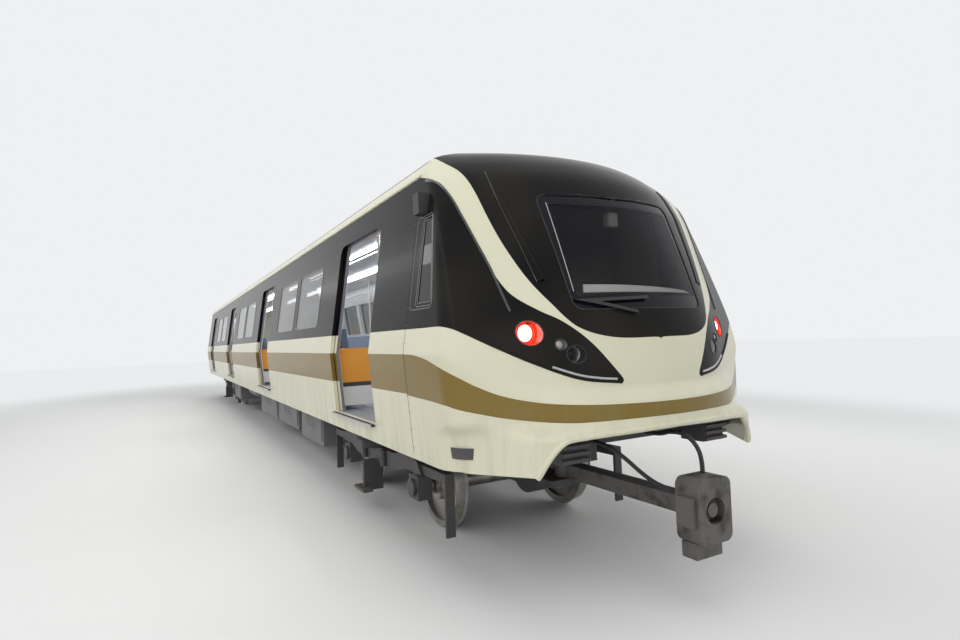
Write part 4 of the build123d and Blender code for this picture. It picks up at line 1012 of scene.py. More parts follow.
hood_edge = through(HOOD_EDGE)
seam_line = through([hug((SEAM_X, y, SEAM_CROWN - SEAM_FALL * y * y), True)
                     for y in (0, 0.35, 0.7, 1.0, 1.195)])
hood_outline = chain((1 / 3, seam_line), (1 / 3, piece_of(hood_edge, 0, HOOD_TURN)),
                     (1 / 3, piece_of(hood_edge, HOOD_TURN, 1)))
glass_outline = ring_line(screen_outline(), SCREEN_TURNS)
hood = grid(150, 16, hood_place)
both_halves(hood)
panel(hood, "hood_panel", black_paint, ("mask_hood",))

# %% [markdown]
# The windscreen is a thinner panel of glass, a hair behind the hood's skin and a gap inside it. Its
# grid runs from the centre line to the outline, because rows that follow the outline bend evenly
# into its rounded corners.

# %% Windscreen
GLASS_GAP, GLASS_DEPTH, GLASS_THICKNESS = 0.004, 0.004, 0.012
pane_outline = ring_line(screen_outline(GLASS_GAP), SCREEN_TURNS)
pane_centre = through([on_nose(0, z) for z in (3.0, 2.75, 2.5, 2.25, 2.09)])


def pane_place(u, v):
    """Point of the glass: from the centre line out to the outline, kept level."""
    edge = pane_outline(u)
    down = (SCREEN_HEAD - edge[2]) / (SCREEN_HEAD - SCREEN_FOOT)
    middle = pane_centre(min(max(down, 0), 1))
    return hug(middle.lerp(edge, v)) - Vector((GLASS_DEPTH, 0, 0))


pane = grid(120, 14, pane_place)
both_halves(pane)
panel(pane, "windscreen_pane", screen_glass, ("windscreen",),
      thickness=GLASS_THICKNESS)

# %% [markdown]
# The wings are the black cheeks that hold the lamps and the cab's side windows. The window's front
# edge leans back like the nose. Its cutter is a rounded box, and the lamp holes are rods. Cutting
# them out afterwards keeps the wing's own grid plain.

# %% Cutters for window and lamps
CAB_WINDOW = ((10.20, 10.45), (2.20, 2.85))
CAB_WINDOW_LEAN, CAB_WINDOW_CORNER = 0.12, 0.03
LAMPS = [("tail", 0.985, 1.928, 0.090), ("marker", 0.797, 1.838, 0.040),
         ("head", 0.706, 1.765, 0.064)]
LAMP_HOLE_X = 11.0


def leaning(x, z):
    """Length of a point of the cab's side window, once its front edge leans back."""
    (x_low, x_high), (z_low, z_high) = CAB_WINDOW
    share = (x - x_low) / (x_high - x_low) * (z - z_low) / (z_high - z_low)
    return x - CAB_WINDOW_LEAN * max(share, 0.0)


def round_edges(bm, edges, rounding, segments):
    """Bevel edges of a shape."""
    bmesh.ops.bevel(bm, geom=edges, offset=rounding, segments=segments, profile=0.5,
                    affect="EDGES", material=-1)
    return bm


def box(low, high):
    """Closed box between two corners."""
    bm = bmesh.new()
    size = Vector(high) - Vector(low)
    centre = (Vector(high) + Vector(low)) / 2
    bmesh.ops.create_cube(bm, size=1.0,
                          matrix=Matrix.Translation(centre) @ Matrix.Diagonal((*size, 1)))
    return bm


def window_cutter(side):
    """The cab window's opening as a closed form, with its edges along Y rounded."""
    (x_low, x_high), (z_low, z_high) = CAB_WINDOW
    y_low, y_high = sorted((side * 1.0, side * 2.0))
    bm = box((x_low, y_low, z_low), (x_high, y_high, z_high))
    along_y = [e for e in bm.edges if abs((e.verts[0].co - e.verts[1].co).y) > 0.9]
    round_edges(bm, along_y, CAB_WINDOW_CORNER, 4)
    for vert in bm.verts:
        vert.co.x = leaning(vert.co.x, vert.co.z)
    return bm


def rod(centre, radius, length, sides=40):
    """Closed cylinder along X, centred on a point."""
    bm = bmesh.new()
    bmesh.ops.create_cone(bm, cap_ends=True, segments=sides, radius1=radius, radius2=radius,
                          depth=length,
                          matrix=Matrix.Translation(centre) @ Matrix.Rotation(pi / 2, 4, "Y"))
    return bm


print("window leans back", CAB_WINDOW_LEAN, "m, lamp holes", len(LAMPS), "a side")

# %% [markdown]
# A wing is a strip between its upper and its lower edge. The two meet in a small rounded tip, which
# takes the last few hundredths of both. A fan of triangles at the tip would be simpler, but its
# spokes would show in the gloss.

# %% Wings
WING_TOP = [(10.0, 1.335, 3.262), (10.13, 1.335, 3.222), (10.293, 1.321, 3.154),
            (10.403, 1.269, 3.022), (10.54, 1.228, 2.80), (10.676, 1.175, 2.536),
            (10.78, 1.116, 2.354), (10.876, 1.044, 2.212), (10.989, 0.897, 2.091),
            (11.085, 0.755, 2.003), (11.19, 0.599, 1.857), (11.282, 0.399, 1.597)]
WING_TIP = [(11.282, 0.399, 1.597), (11.286, 0.386, 1.566), (11.286, 0.408, 1.547)]
WING_FOOT = [(11.286, 0.408, 1.547), (11.193, 0.699, 1.587), (11.044, 0.979, 1.704),
             (10.885, 1.253, 1.852), (10.751, 1.451, 1.970), (10.66, 1.52, 2.0), (10.4, 1.52, 2.0),
             (10.0, 1.52, 2.0)]
TIP_SHARE = 0.03
wing_top, wing_tip, wing_foot = through(WING_TOP), through(WING_TIP), through(WING_FOOT)
wing_upper = chain((1 - TIP_SHARE, wing_top), (TIP_SHARE, piece_of(wing_tip, 0, 0.5)))
wing_lower = chain((1 - TIP_SHARE, piece_of(wing_foot, 1, 0)),
                   (TIP_SHARE, piece_of(wing_tip, 1, 0.5)))
for side_name, side in SIDES:
    wing = strip(90, 34, wing_lower, wing_upper, (0.0,))
    for vert in wing.verts:
        vert.co.y *= side
    close_up(wing, PANEL_WELD)
    holes = [rod((LAMP_HOLE_X, side * y, z), radius, 1.0) for _, y, z, radius in LAMPS]
    panel(wing, f"wing_panel_{side_name}", black_paint,
          ("mask_wings",) if side > 0 else (), [window_cutter(side)] + holes)

# %% [markdown]
# The cream band is the ring round each wing: its inner edge is the wing's outline, its outer edge
# runs down the hood, down the centre line and back along the belt. Both rings are cut into the same
# four shares, so that the strip's lines don't cross.

# %% Band
RING_SHARES = (0.42, 0.10, 0.10, 0.38)
HOOD_SPLIT, WING_SPLIT = 0.75, 0.84
centre_front = through([hug((11.33, 0, z)) for z in (1.865, 1.75, 1.65, 1.56, 1.50, 1.45, 1.41)])


def belt_line(table):
    """Edge of the bumper belt from the centre line to the seam."""
    points = []
    for y in (0, 0.2, 0.4, 0.6, 0.8, 1.0, 1.2, 1.35, 1.45):
        x, z = BUMPER_TIP - setback(y, BELT_BEND), 1.4
        for _ in range(3):
            z = along_table(table, x)
            x = bumper_front(y, z)
        points.append(hug((x, y, z)))
    corner_x = points[-1].x
    for share in (0.12, 0.3, 0.5, 0.75, 1.0):
        x = corner_x - share * (corner_x - SEAM_X)
        points.append(hug((x, 1.54, along_table(table, x)), True))
    return through(points)


def ring_of(line, split, middle, last):
    """Line in the band's four shares: one split in two, one in the middle and the last."""
    stretches = (piece_of(line, 0, split), piece_of(line, split, 1), middle, last)
    return chain(*zip(RING_SHARES, stretches))


belt_top, belt_foot = belt_line(BELT_TOP), belt_line(BELT_FOOT)
band_outer = ring_of(hood_edge, HOOD_SPLIT, centre_front, belt_top)
band_inner = ring_of(wing_top, WING_SPLIT, wing_tip, wing_foot)
band = strip(300, 16, band_inner, band_outer, (0.0, 1.0))
both_halves(band)
panel(band, "band_panel", cream_paint, ("mask_band",))

# %% [markdown]
# The gold belt and the cream skirt close the mask below. The skirt's lower edge rises over the
# opening for the coupler. The two share the belt's lower edge, so they meet in one fine joint.

# %% Belt and skirt
FOOT = 0.95
OPENING = [(0.0, 1.24), (0.383, 1.23), (0.565, 1.222), (0.779, 1.208), (0.879, 1.195),
           (0.929, 1.167), (0.975, 1.12), (1.019, 1.06), (1.06, 0.99), (1.075, FOOT)]


def on_bumper(y, z):
    """Point of the bumper's front at a place seen from the front."""
    return hug((bumper_front(y, z), y, z))


belt = strip(120, 6, belt_foot, belt_top, (1.0,))
both_halves(belt)
panel(belt, "belt_panel", gold_paint, ("mask_belt",))

opening_line = through([on_bumper(y, z) for y, z in OPENING])
foot_line = through([on_bumper(y, FOOT) for y in (1.075, 1.16, 1.27, 1.38)]
                    + [hug((x, half_width(FOOT), FOOT), True) for x in (10.7, 10.5, 10.25, SEAM_X)])
skirt = strip(160, 22, chain((0.5, opening_line), (0.5, foot_line)), belt_foot, (1.0,))
both_halves(skirt)
panel(skirt, "skirt_panel", cream_paint, ("mask_skirt",))

# %% [markdown]
# Lamps, trims and mouldings are small parts of two kinds: round ones, turned on an axis like work
# on a lathe, and drawn ones, a round section that follows a line. Both come as a bmesh, and several
# are gathered into one piece, each with its own material.

# %% Turned and drawn parts
WELD = 0.00005


def turned(profile, centre, axis=(1, 0, 0), steps=40):
    """Round part: rows of (distance along the axis, radius) spun about it."""
    bm = bmesh.new()
    axis = Vector(axis)
    out = axis.orthogonal().normalized()
    verts = [bm.verts.new(Vector(centre) + along * axis + radius * out)
             for along, radius in profile]
    edges = [bm.edges.new(pair) for pair in zip(verts, verts[1:])]
    bmesh.ops.spin(bm, geom=verts + edges, cent=centre, axis=axis, angle=2 * pi, steps=steps,
                   use_merge=True)
    return close_up(bm, WELD)


def curve_through(points, kind):
    """A curve with one spline of a kind, and these as its points."""
    curve = bpy.data.curves.new("line", "CURVE")
    curve.dimensions = "3D"
    spline = curve.splines.new(kind)
    spline.points.add(len(points) - 1)
    for point, place in zip(spline.points, points):
        point.co = (*place, 1.0)
    return curve


def mesh_of(curve):
    """What a curve looks like as a mesh."""
    holder = bpy.data.objects.new("line", curve)
    mesh = bpy.data.meshes.new_from_object(holder)
    bpy.data.objects.remove(holder)
    return mesh


def drawn(points, radius, closed=False):
    """Round bar that follows points."""
    curve = curve_through(points, "POLY")
    curve.bevel_depth = radius
    curve.bevel_resolution = 3
    curve.use_fill_caps = True
    curve.splines[0].use_cyclic_u = closed
    bm = bmesh.new()
    bm.from_mesh(mesh_of(curve))
    return close_up(bm, WELD)


def sampled(line, count):
    """Evenly spaced points of a line."""
    return [line(i / count) for i in range(count + 1)]


def rounded_block(low, high, rounding=0.006):
    """Block between two corners with its edges rounded."""
    bm = box(low, high)
    return round_edges(bm, bm.edges[:], rounding, 3)


def gather(*parts):
    """Join bmeshes into one, each part given with the index of its material."""
    whole = bmesh.new()
    for part, index in parts:
        for face in part.faces:
            face.material_index = index
        mesh = bpy.data.meshes.new("part")
        part.to_mesh(mesh)
        part.free()
        whole.from_mesh(mesh)
        bpy.data.meshes.remove(mesh)
    return whole


print("a line sampled in 12 has", len(sampled(seam_line, 12)), "points")

# %% [markdown]
# Each wing holds three lamps in a row. The tail lamp is a deep red bowl with a bright disc at its
# bottom, the marker lamp a small faceted lens, and the head lamp a dark projector in a bright ring
# behind a smoked cover. The marker lens's facets carry a painted reflection, light in the middle of
# each facet, and painted shade at its edges.

# %% Lamp finishes
red_bowl = Finish("red_lamp_bowl", Roughness=0.22, Coat_Weight=0.6)
glow_depth = red_bowl.noise(18.0, 2.0)
red_bowl.set("Base Color", red_bowl.mix(glow_depth, (0.40, 0.008, 0.004), (0.55, 0.045, 0.008)))
red_bowl.set("Emission Color", red_bowl.mix(glow_depth, (1.0, 0.010, 0.005), (1.0, 0.06, 0.006)))
red_bowl.set("Emission Strength", 0.55)
clear_facets = Finish("faceted_lamp_lens", Roughness=0.08, Coat_Weight=1.0, Metallic=0.35)
facet = clear_facets.cells(140.0)
# Painted reflection and shade: each facet is light in its middle and dark at its edges.
clear_facets.set("Base Color", clear_facets.mix(facet, (0.60, 0.60, 0.58), (0.16, 0.155, 0.15)))
clear_facets.bump(facet, 0.9, 0.003)
smoked_cover = tinted_glass("smoked_lamp_cover", (0.006, 0.006, 0.006), 0.25, gloss=0.5)
lamp_materials = [black_plastic, red_bowl.material, hot_disc, clear_facets.material, brushed_steel,
                  smoked_cover, screen_glass]
BLACK_PART, RED_PART, HOT_PART, FACET_PART, STEEL_PART, COVER_PART, DARK_PART = range(7)
print("lamp finishes", len(lamp_materials))

# %% [markdown]
# A milky light bar lies along the foot of each wing, over a black lip that rounds the wing's edge.
# Both are drawn along points that hug the skin, so they follow it as it curves two ways at once,
# which a bevelled block could not.

# %% Light bars
LIGHT_BAR = [(0.874, 1.684), (0.70, 1.619), (0.56, 1.592), (0.44, 1.580)]
BAR_RADIUS, EDGE_LIP_RADIUS = 0.009, 0.010
LIP_INSET, LIP_RISE = 0.004, 0.008


def light_bar(side_name, side):
    """The milky bar and the black lip at the foot of one wing."""
    bar_line = through([on_nose(side * y, z) for y, z in LIGHT_BAR])
    lip_line = through([hug((x, side * (y - LIP_INSET), z + LIP_RISE))
                        for x, y, z in WING_FOOT[:4]])
    bars = gather((drawn([hug(point) for point in sampled(bar_line, 30)], BAR_RADIUS), 0),
                  (drawn([hug(point) for point in sampled(lip_line, 40)], EDGE_LIP_RADIUS), 1))
    make_piece(bars, f"light_bar_{side_name}", "car_body", [bar_lens, black_paint])


print("a light bar runs from", LIGHT_BAR[-1], "to", LIGHT_BAR[0], "seen from the front")

# %% [markdown]
# A lamp's rim and sleeve start on the slanting skin, so they follow it, while its turned parts
# stand straight behind. Each lamp is a few rows of a table, given as shares of the hole's radius,
# so three different lamps come out of one short loop.

# %% Lamps
# The sleeve's depth and material, then the turned parts: material and (depth, share of the radius)
LAMP_PARTS = {
    "tail": (0.060, RED_PART, [
        (RED_PART, [(-0.060, 0.94), (-0.066, 0.84), (-0.058, 0.68)]),
        (HOT_PART, [(-0.058, 0.68), (-0.051, 0.62), (-0.046, 0.35), (-0.045, 0)])]),
    "marker": (0.030, STEEL_PART, [
        (FACET_PART, [(-0.030, 0.94), (-0.020, 0.8), (-0.012, 0.45), (-0.010, 0)])]),
    "head": (0.045, BLACK_PART, [
        (STEEL_PART, [(-0.045, 0.94), (-0.036, 0.90), (-0.044, 0.80)]),
        (STEEL_PART, [(-0.044, 0.80), (-0.075, 0.55)]),
        (DARK_PART, [(-0.075, 0.58), (-0.055, 0.50), (-0.044, 0.25), (-0.042, 0)])]),
}
RIM_RADIUS = 0.004
SLEEVE_NARROWS_BY = 0.06
COVER_GAP, COVER_SUNK = 0.004, 0.003
DISC_WELD = 0.0002


def on_circle(y, z, radius, u):
    """Point of the skin on a circle seen from the front, at a share of its turn."""
    return on_nose(y + radius * cos(2 * pi * u), z + radius * sin(2 * pi * u))


def sleeve(y, z, radius, depth):
    """Wall of a lamp's recess, from the skin to a flat ring at a depth."""
    foot_x = on_nose(y, z).x - depth

    def place(u, v):
        spread = radius * (1 - SLEEVE_NARROWS_BY * v)
        foot = Vector((foot_x, y + spread * cos(2 * pi * u), z + spread * sin(2 * pi * u)))
        return on_circle(y, z, radius, u).lerp(foot, v)
    return close_up(grid(48, 5, place), DISC_WELD)


def cover(y, z, radius):
    """Smoked glass that lies just under the skin."""
    inward = Vector((-COVER_SUNK, 0, 0))
    return close_up(grid(32, 5, lambda u, v: on_circle(y, z, v * radius, u) + inward), DISC_WELD)


for side_name, side in SIDES:
    parts = []
    for kind, y, z, radius in LAMPS:
        depth, wall_part, rows = LAMP_PARTS[kind]
        rim = [on_circle(side * y, z, radius, i / 40) for i in range(40)]
        parts.append((drawn(rim, RIM_RADIUS, True), BLACK_PART))
        parts.append((sleeve(side * y, z, radius, depth), wall_part))
        for part, profile in rows:
            turn_rows = [(along, share * radius) for along, share in profile]
            parts.append((turned(turn_rows, on_nose(side * y, z)), part))
        if kind == "head":
            parts.append((cover(side * y, z, radius - COVER_GAP), COVER_PART))
    make_piece(gather(*parts), f"lamps_{side_name}", "car_body", lamp_materials,
               ("marker_lamps",) if side > 0 else ())
    light_bar(side_name, side)
print("lamps", [kind for kind, *_ in LAMPS], "on both sides")

# %% [markdown]
# Mouldings: a slim raised facet runs down each side of the hood, a rounded shoulder edges each
# wing, and a rolled lip frames the coupler's opening. They are what catches the long highlights.
# The facet's edges and the wings' shoulders are drawn in a lighter, metallic black: a painted
# highlight.

# %% Mouldings of the mask
FACET_OUTER = [(10.401, 0.945, 3.244), (10.543, 0.940, 3.060), (10.704, 0.904, 2.795),
               (10.886, 0.835, 2.439), (10.956, 0.798, 2.313)]
FACET_INNER = [(10.401, 0.952, 3.240), (10.477, 0.961, 3.148), (10.629, 0.956, 2.913),
               (10.764, 0.909, 2.643), (10.934, 0.855, 2.297)]
SHOULDER = [(10.12, 1.318, 3.20), (10.30, 1.298, 3.12), (10.40, 1.262, 2.99),
            (10.487, 1.235, 2.86), (10.633, 1.182, 2.617), (10.741, 1.135, 2.415),
            (10.83, 1.10, 2.22), (10.896, 1.075, 2.084)]
FACET_RISE, FACET_THICKNESS = 0.006, 0.012
EDGE_RISE, EDGE_RADIUS = 0.004, 0.0055
SHOULDER_RADIUS, LIP_RADIUS = 0.011, 0.022
LIP_SINKS = Vector((-0.008, 0, 0))


def lifted(point, height):
    """Point a little outside the skin."""
    skin = hug(point)
    return skin + height * outward(skin)


def mirrored(points):
    """The same points on the car's other side, in the opposite order."""
    return [Vector((p.x, -p.y, p.z)) for p in reversed(points)]


for side_name, side in SIDES:
    facet_a = through([(x, side * y, z) for x, y, z in FACET_OUTER])
    facet_b = through([(x, side * y, z) for x, y, z in FACET_INNER])
    facet_skin = grid(40, 4, lambda u, v: lifted(facet_a(u).lerp(facet_b(u), v), FACET_RISE))
    panel(facet_skin, f"hood_facet_{side_name}", black_paint,
          thickness=FACET_THICKNESS)
    # The facet's edges and the shoulder take the lighter black: a painted highlight along them.
    edges = [[lifted(point, EDGE_RISE) for point in sampled(line, 50)]
             for line in (facet_a, facet_b)]
    make_piece(gather(*[(drawn(edge, EDGE_RADIUS), 0) for edge in edges]),
               f"hood_facet_edges_{side_name}", "car_body", [highlight_black])
    shoulder = through([(x, side * y, z) for x, y, z in SHOULDER])
    make_piece(drawn([hug(point) for point in sampled(shoulder, 60)], SHOULDER_RADIUS),
               f"wing_shoulder_{side_name}", "car_body", [highlight_black])

lip_points = sampled(opening_line, 60)
lip_points = mirrored(lip_points[1:]) + lip_points
make_piece(drawn([point + LIP_SINKS for point in lip_points], LIP_RADIUS), "opening_lip",
           "car_body", [cream_paint])
print("mouldings", len(lip_points), "points round the opening")

# %% [markdown]
# Glass is held by rubber. The windscreen has a bead all round and a bright strip at one edge. The
# bead is drawn along the outline that the glass was made from, so it can't miss it.

# %% Windscreen seal
BEAD_RADIUS, STRIP_RADIUS = 0.005, 0.0035
half_rim = sampled(glass_outline, 60)
whole_rim = half_rim + mirrored(half_rim[1:-1])
glass_strip = through([on_nose(-0.625, z) for z in (2.94, 2.7, 2.45, 2.22)])
make_piece(gather((drawn(whole_rim, BEAD_RADIUS, True), 0),
                  (drawn(sampled(glass_strip, 20), STRIP_RADIUS), 1)),
           "windscreen_seal", "car_body", [seal_rubber, brushed_steel])
print("windscreen seal", len(whole_rim), "points round")

# %% [markdown]
# The cab's side windows have three nested frame lines, a grey frame edges every saloon window, and
# a thin seal every door's pane. All are rounded rectangles laid on the body or on the mask. Drawn
# lines need few faces and still catch the light like a real profile.

# %% Window frames
FRAME_CORNER, FRAME_RADIUS, FRAME_SUNK = 0.08, 0.0065, 0.002
PANE_SEAL_RADIUS, PANE_SET_BACK = 0.005, 0.050
# Growth to the rear, to the front, and up and down, then the corner's radius
CAB_FRAME_LINES = [(0.004, 0.004, 0.004, 0.03), (0.035, 0.018, 0.03, 0.04),
                   (0.15, 0.028, 0.05, 0.05)]
CAB_FRAME_RADIUS = 0.0036


def rounded_rectangle(x_low, x_high, z_low, z_high, corner, steps=6):
    """Points (x, z) round a rectangle with rounded corners."""
    points = []
    for centre_x, centre_z, start in ((x_high - corner, z_high - corner, 0.0),
                                      (x_low + corner, z_high - corner, 0.5),
                                      (x_low + corner, z_low + corner, 1.0),
                                      (x_high - corner, z_low + corner, 1.5)):
        for i in range(steps + 1):
            angle = pi * (start + 0.5 * i / steps)
            points.append((centre_x + corner * cos(angle), centre_z + corner * sin(angle)))
    return points


def frame_loop(low, high, side, inset):
    """Outline of a window between two corners, laid on the body's side."""
    return [Vector((x, side * (half_width(z) - inset), z))
            for x, z in rounded_rectangle(low.x, high.x, low.z, high.z, FRAME_CORNER)]


def mask_loop(to_rear, to_front, up_down, corner, side):
    """Outline of the cab's side window, grown by some lengths and laid on the mask's cheek."""
    (x_low, x_high), (z_low, z_high) = CAB_WINDOW
    outline = rounded_rectangle(x_low - to_rear, x_high + to_front, z_low - up_down,
                                z_high + up_down, corner)
    return [hug((leaning(x, z), side * half_width(z), z), True) for x, z in outline]


for side_name, side in SIDES:
    loops = [mask_loop(*growth, side) for growth in CAB_FRAME_LINES]
    make_piece(gather(*[(drawn(loop, CAB_FRAME_RADIUS, True), 0) for loop in loops]),
               f"cab_window_frame_{side_name}", "car_body", [frame_grey])
    saloon = copy_of("saloon_windows")
    loops = []
    for group in islands(saloon):
        low, high = reach(group)
        if (low.y + high.y) * side > 0:
            loops.append(frame_loop(low, high, side, FRAME_SUNK))
    saloon.free()
    make_piece(gather(*[(drawn(loop, FRAME_RADIUS, True), 0) for loop in loops]),
               f"window_frames_{side_name}", "car_body", [frame_grey])

for name, (low, high) in leaf_panes.items():
    side = -1 if "right" in name else 1
    loop = frame_loop(low, high, side, PANE_SET_BACK)
    make_piece(drawn(loop, PANE_SEAL_RADIUS, True), f"pane_seal_{name}", name, [seal_rubber])
print("frames", len(leaf_panes), "door panes")

# %% [markdown]
# Small screws hold the mask to the body along its seam, on both sides of a thin seal. A head is a
# turned profile of three rows and eight steps, since no more would show at its size.

# %% Seam screws
SCREWS_IN_A_ROW, LOWEST_SCREW, SCREW_PITCH, SCREW_SPREAD = 16, 1.05, 0.14, 0.03
SCREW = [(-0.001, 0.005), (0.0015, 0.0045), (0.002, 0)]
SEAL_FOOT, SEAL_STEP, SEAL_STEPS = 1.0, 0.04, 58
SEAL_SUNK, SEAL_RADIUS = 0.003, 0.0045
screws = []
for side in (-1, 1):
    for i in range(SCREWS_IN_A_ROW):
        z = LOWEST_SCREW + SCREW_PITCH * i
        for x in (SEAM_X - SCREW_SPREAD, SEAM_X + SCREW_SPREAD):
            screws.append((turned(SCREW, (x, side * half_width(z), z), (0, side, 0), 8), 0))
    heights = [SEAL_FOOT + SEAL_STEP * i for i in range(SEAL_STEPS)]
    seal_line = [(SEAM_X, side * (half_width(z) - SEAL_SUNK), z) for z in heights]
    screws.append((drawn(seal_line, SEAL_RADIUS), 1))
make_piece(gather(*screws), "seam_screws", "car_body", [frame_grey, seal_rubber])
print("screws", len(screws) - 2)

# %% [markdown]
# Inside, two rows of lights run along the ceiling, with a grey bar between neighbours, and an
# orange fairing sits over each doorway: a round disc squashed to a lens. Plain rounded blocks do
# for the lights, because they are seen only through doors and glass.

# %% Ceiling lights and doorway fairings
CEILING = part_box("grab_poles")[1][2]
LIGHTS_IN_A_ROW, FIRST_LIGHT, LIGHT_PITCH, LIGHT_LENGTH = 12, -10.4, 1.62, 1.56
LIGHT_ROW_Y = 0.42
for side_name, side in SIDES:
    y = side * LIGHT_ROW_Y
    lights = []
    for i in range(LIGHTS_IN_A_ROW):
        x = FIRST_LIGHT + LIGHT_PITCH * i
        lights.append((rounded_block((x, y - 0.09, CEILING - 0.030),
                                     (x + LIGHT_LENGTH, y + 0.09, CEILING - 0.002), 0.008), 0))
        lights.append((rounded_block((x - 0.02, y - 0.10, CEILING - 0.018),
                                     (x, y + 0.10, CEILING - 0.002), 0.003), 1))
    make_piece(gather(*lights), f"ceiling_lights_{side_name}", "car_body",
               [ceiling_light, frame_grey])

DOORWAYS = (-9.18, -3.32, 2.54, 8.40)
FAIRING = [(0.0, 0.5), (0.03, 0.44), (0.05, 0.25), (0.055, 0)]
FAIRING_Y, FAIRING_Z, FAIRING_SQUASH = 1.235, 3.14, 0.22
fairings = []
for x in DOORWAYS:
    for side in (-1, 1):
        disc = turned(FAIRING, (x, side * FAIRING_Y, FAIRING_Z), (0, -side, 0), 48)
        bmesh.ops.scale(disc, vec=(1, 1, FAIRING_SQUASH), verts=disc.verts,
                        space=Matrix.Translation((0, 0, -FAIRING_Z)))
        fairings.append((disc, 0))
make_piece(gather(*fairings), "doorway_fairings", "car_body", [fairing_orange])
print("ceiling lights", 2 * LIGHTS_IN_A_ROW, "fairings", len(fairings))

# %% [markdown]
# A white shelf closes the foot of the windscreen, and a small bracket hangs at its head. The shelf
# is a panel laid on the nose and then moved behind the glass, so it follows the glass's curve.

# %% Shelf and bracket behind the windscreen
SHELF_TOP = [(-0.53, 2.268), (-0.2, 2.262), (0.2, 2.245), (0.5, 2.23)]
SHELF_FOOT = [(-0.545, 2.205), (-0.2, 2.205), (0.2, 2.205), (0.56, 2.205)]
SHELF_THICKNESS = 0.02
BEHIND_GLASS = Vector((0.03, 0, 0))
shelf_top = through([on_nose(y, z) for y, z in SHELF_TOP])
shelf_foot = through([on_nose(y, z) for y, z in SHELF_FOOT])
shelf = grid(40, 4, lambda u, v: shelf_top(u).lerp(shelf_foot(u), v) - BEHIND_GLASS)
panel(shelf, "windscreen_shelf", lining_white, thickness=SHELF_THICKNESS)
bracket_top = on_nose(0.02, 2.90)
make_piece(rounded_block(bracket_top + Vector((-0.16, -0.05, -0.12)),
                         bracket_top + Vector((-0.075, 0.05, 0.0)), 0.015),
           "mirror_bracket", "car_body", [lining_white])
print("bracket below", tuple(round(c, 3) for c in bracket_top))

# %% [markdown]
# The driver's seat stands on a turned pedestal. Its cushion and back are foam in cloth covers, so
# each is a rounded block a little too small, remeshed finely and blown up by a short cloth
# simulation, which crowns its faces and pulls in its sides. Piping then marks the sewn edge.

# %% Seat pads
SEAT_PLACE = Vector((9.95, 0.0, 1.59))
BACK_PLACE = Vector((9.71, 0.0, 1.92))
BACK_LEAN = radians(-12)
PAD_SHRINK, PAD_SWELL, PAD_ROUNDING = 0.012, 0.010, 0.028
PAD_VOXEL, PAD_PRESSURE, PAD_FRAMES = 0.007, 4.0, 20
PIPING_INSET, PIPING_RADIUS, PIPING_CORNER = 0.006, 0.004, 0.04


def leaned(bm, lean, place):
    """Lean a shape back about the car's cross axis and put it in place."""
    bmesh.ops.rotate(bm, verts=bm.verts, cent=(0, 0, 0), matrix=Matrix.Rotation(lean, 3, "Y"))
    bmesh.ops.translate(bm, verts=bm.verts, vec=place)
    return bm


def swell(piece):
    """Blow a pad up inside its cover for twenty frames, and hold every point within a few mm."""
    remesh = piece.modifiers.new("even faces", "REMESH")
    remesh.mode = "VOXEL"
    remesh.voxel_size = PAD_VOXEL
    settle(piece)
    start = [vert.co.copy() for vert in piece.data.vertices]
    cloth = piece.modifiers.new("cover", "CLOTH")
    cloth.settings.use_pressure = True
    cloth.settings.uniform_pressure_force = PAD_PRESSURE
    cloth.settings.effector_weights.gravity = 0.0
    for step in range(1, PAD_FRAMES + 1):
        bpy.context.scene.frame_set(step)
    settle(piece)
    for vert, before in zip(piece.data.vertices, start):
        moved = vert.co - before
        if moved.length > PAD_SWELL:
            vert.co = before + moved * PAD_SWELL / moved.length
    bpy.context.scene.frame_set(1)
    for face in piece.data.polygons:
        face.use_smooth = True


def pad(name, size, place, lean):
    """One cloth pad of the seat."""
    half = Vector(size) / 2 - Vector((PAD_SHRINK, PAD_SHRINK, PAD_SHRINK))
    block = leaned(rounded_block(-half, half, PAD_ROUNDING), lean, place)
    piece = make_piece(block, name, None, [seat_cloth])
    swell(piece)
    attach(piece, "car_body")


def piping(size, place, lean, flat_axis):
    """Cord sewn round a pad's edge."""
    half = Vector(size) / 2 - Vector((PIPING_INSET, PIPING_INSET, PIPING_INSET))
    wide = half.x if flat_axis == 2 else half.z
    points = []
    for a, b in rounded_rectangle(-wide, wide, -half.y, half.y, PIPING_CORNER):
        points.append(Vector((a, b, 0)) if flat_axis == 2 else Vector((0, b, a)))
    return leaned(drawn(points, PIPING_RADIUS, True), lean, place)


print("pads swell for", PAD_FRAMES, "frames, by at most", PAD_SWELL, "m")

# %% [markdown]
# The seat is two pads with piping, on a pan and a shell that the pedestal carries. The hard parts
# and the piping are one piece, since nothing moves them apart.

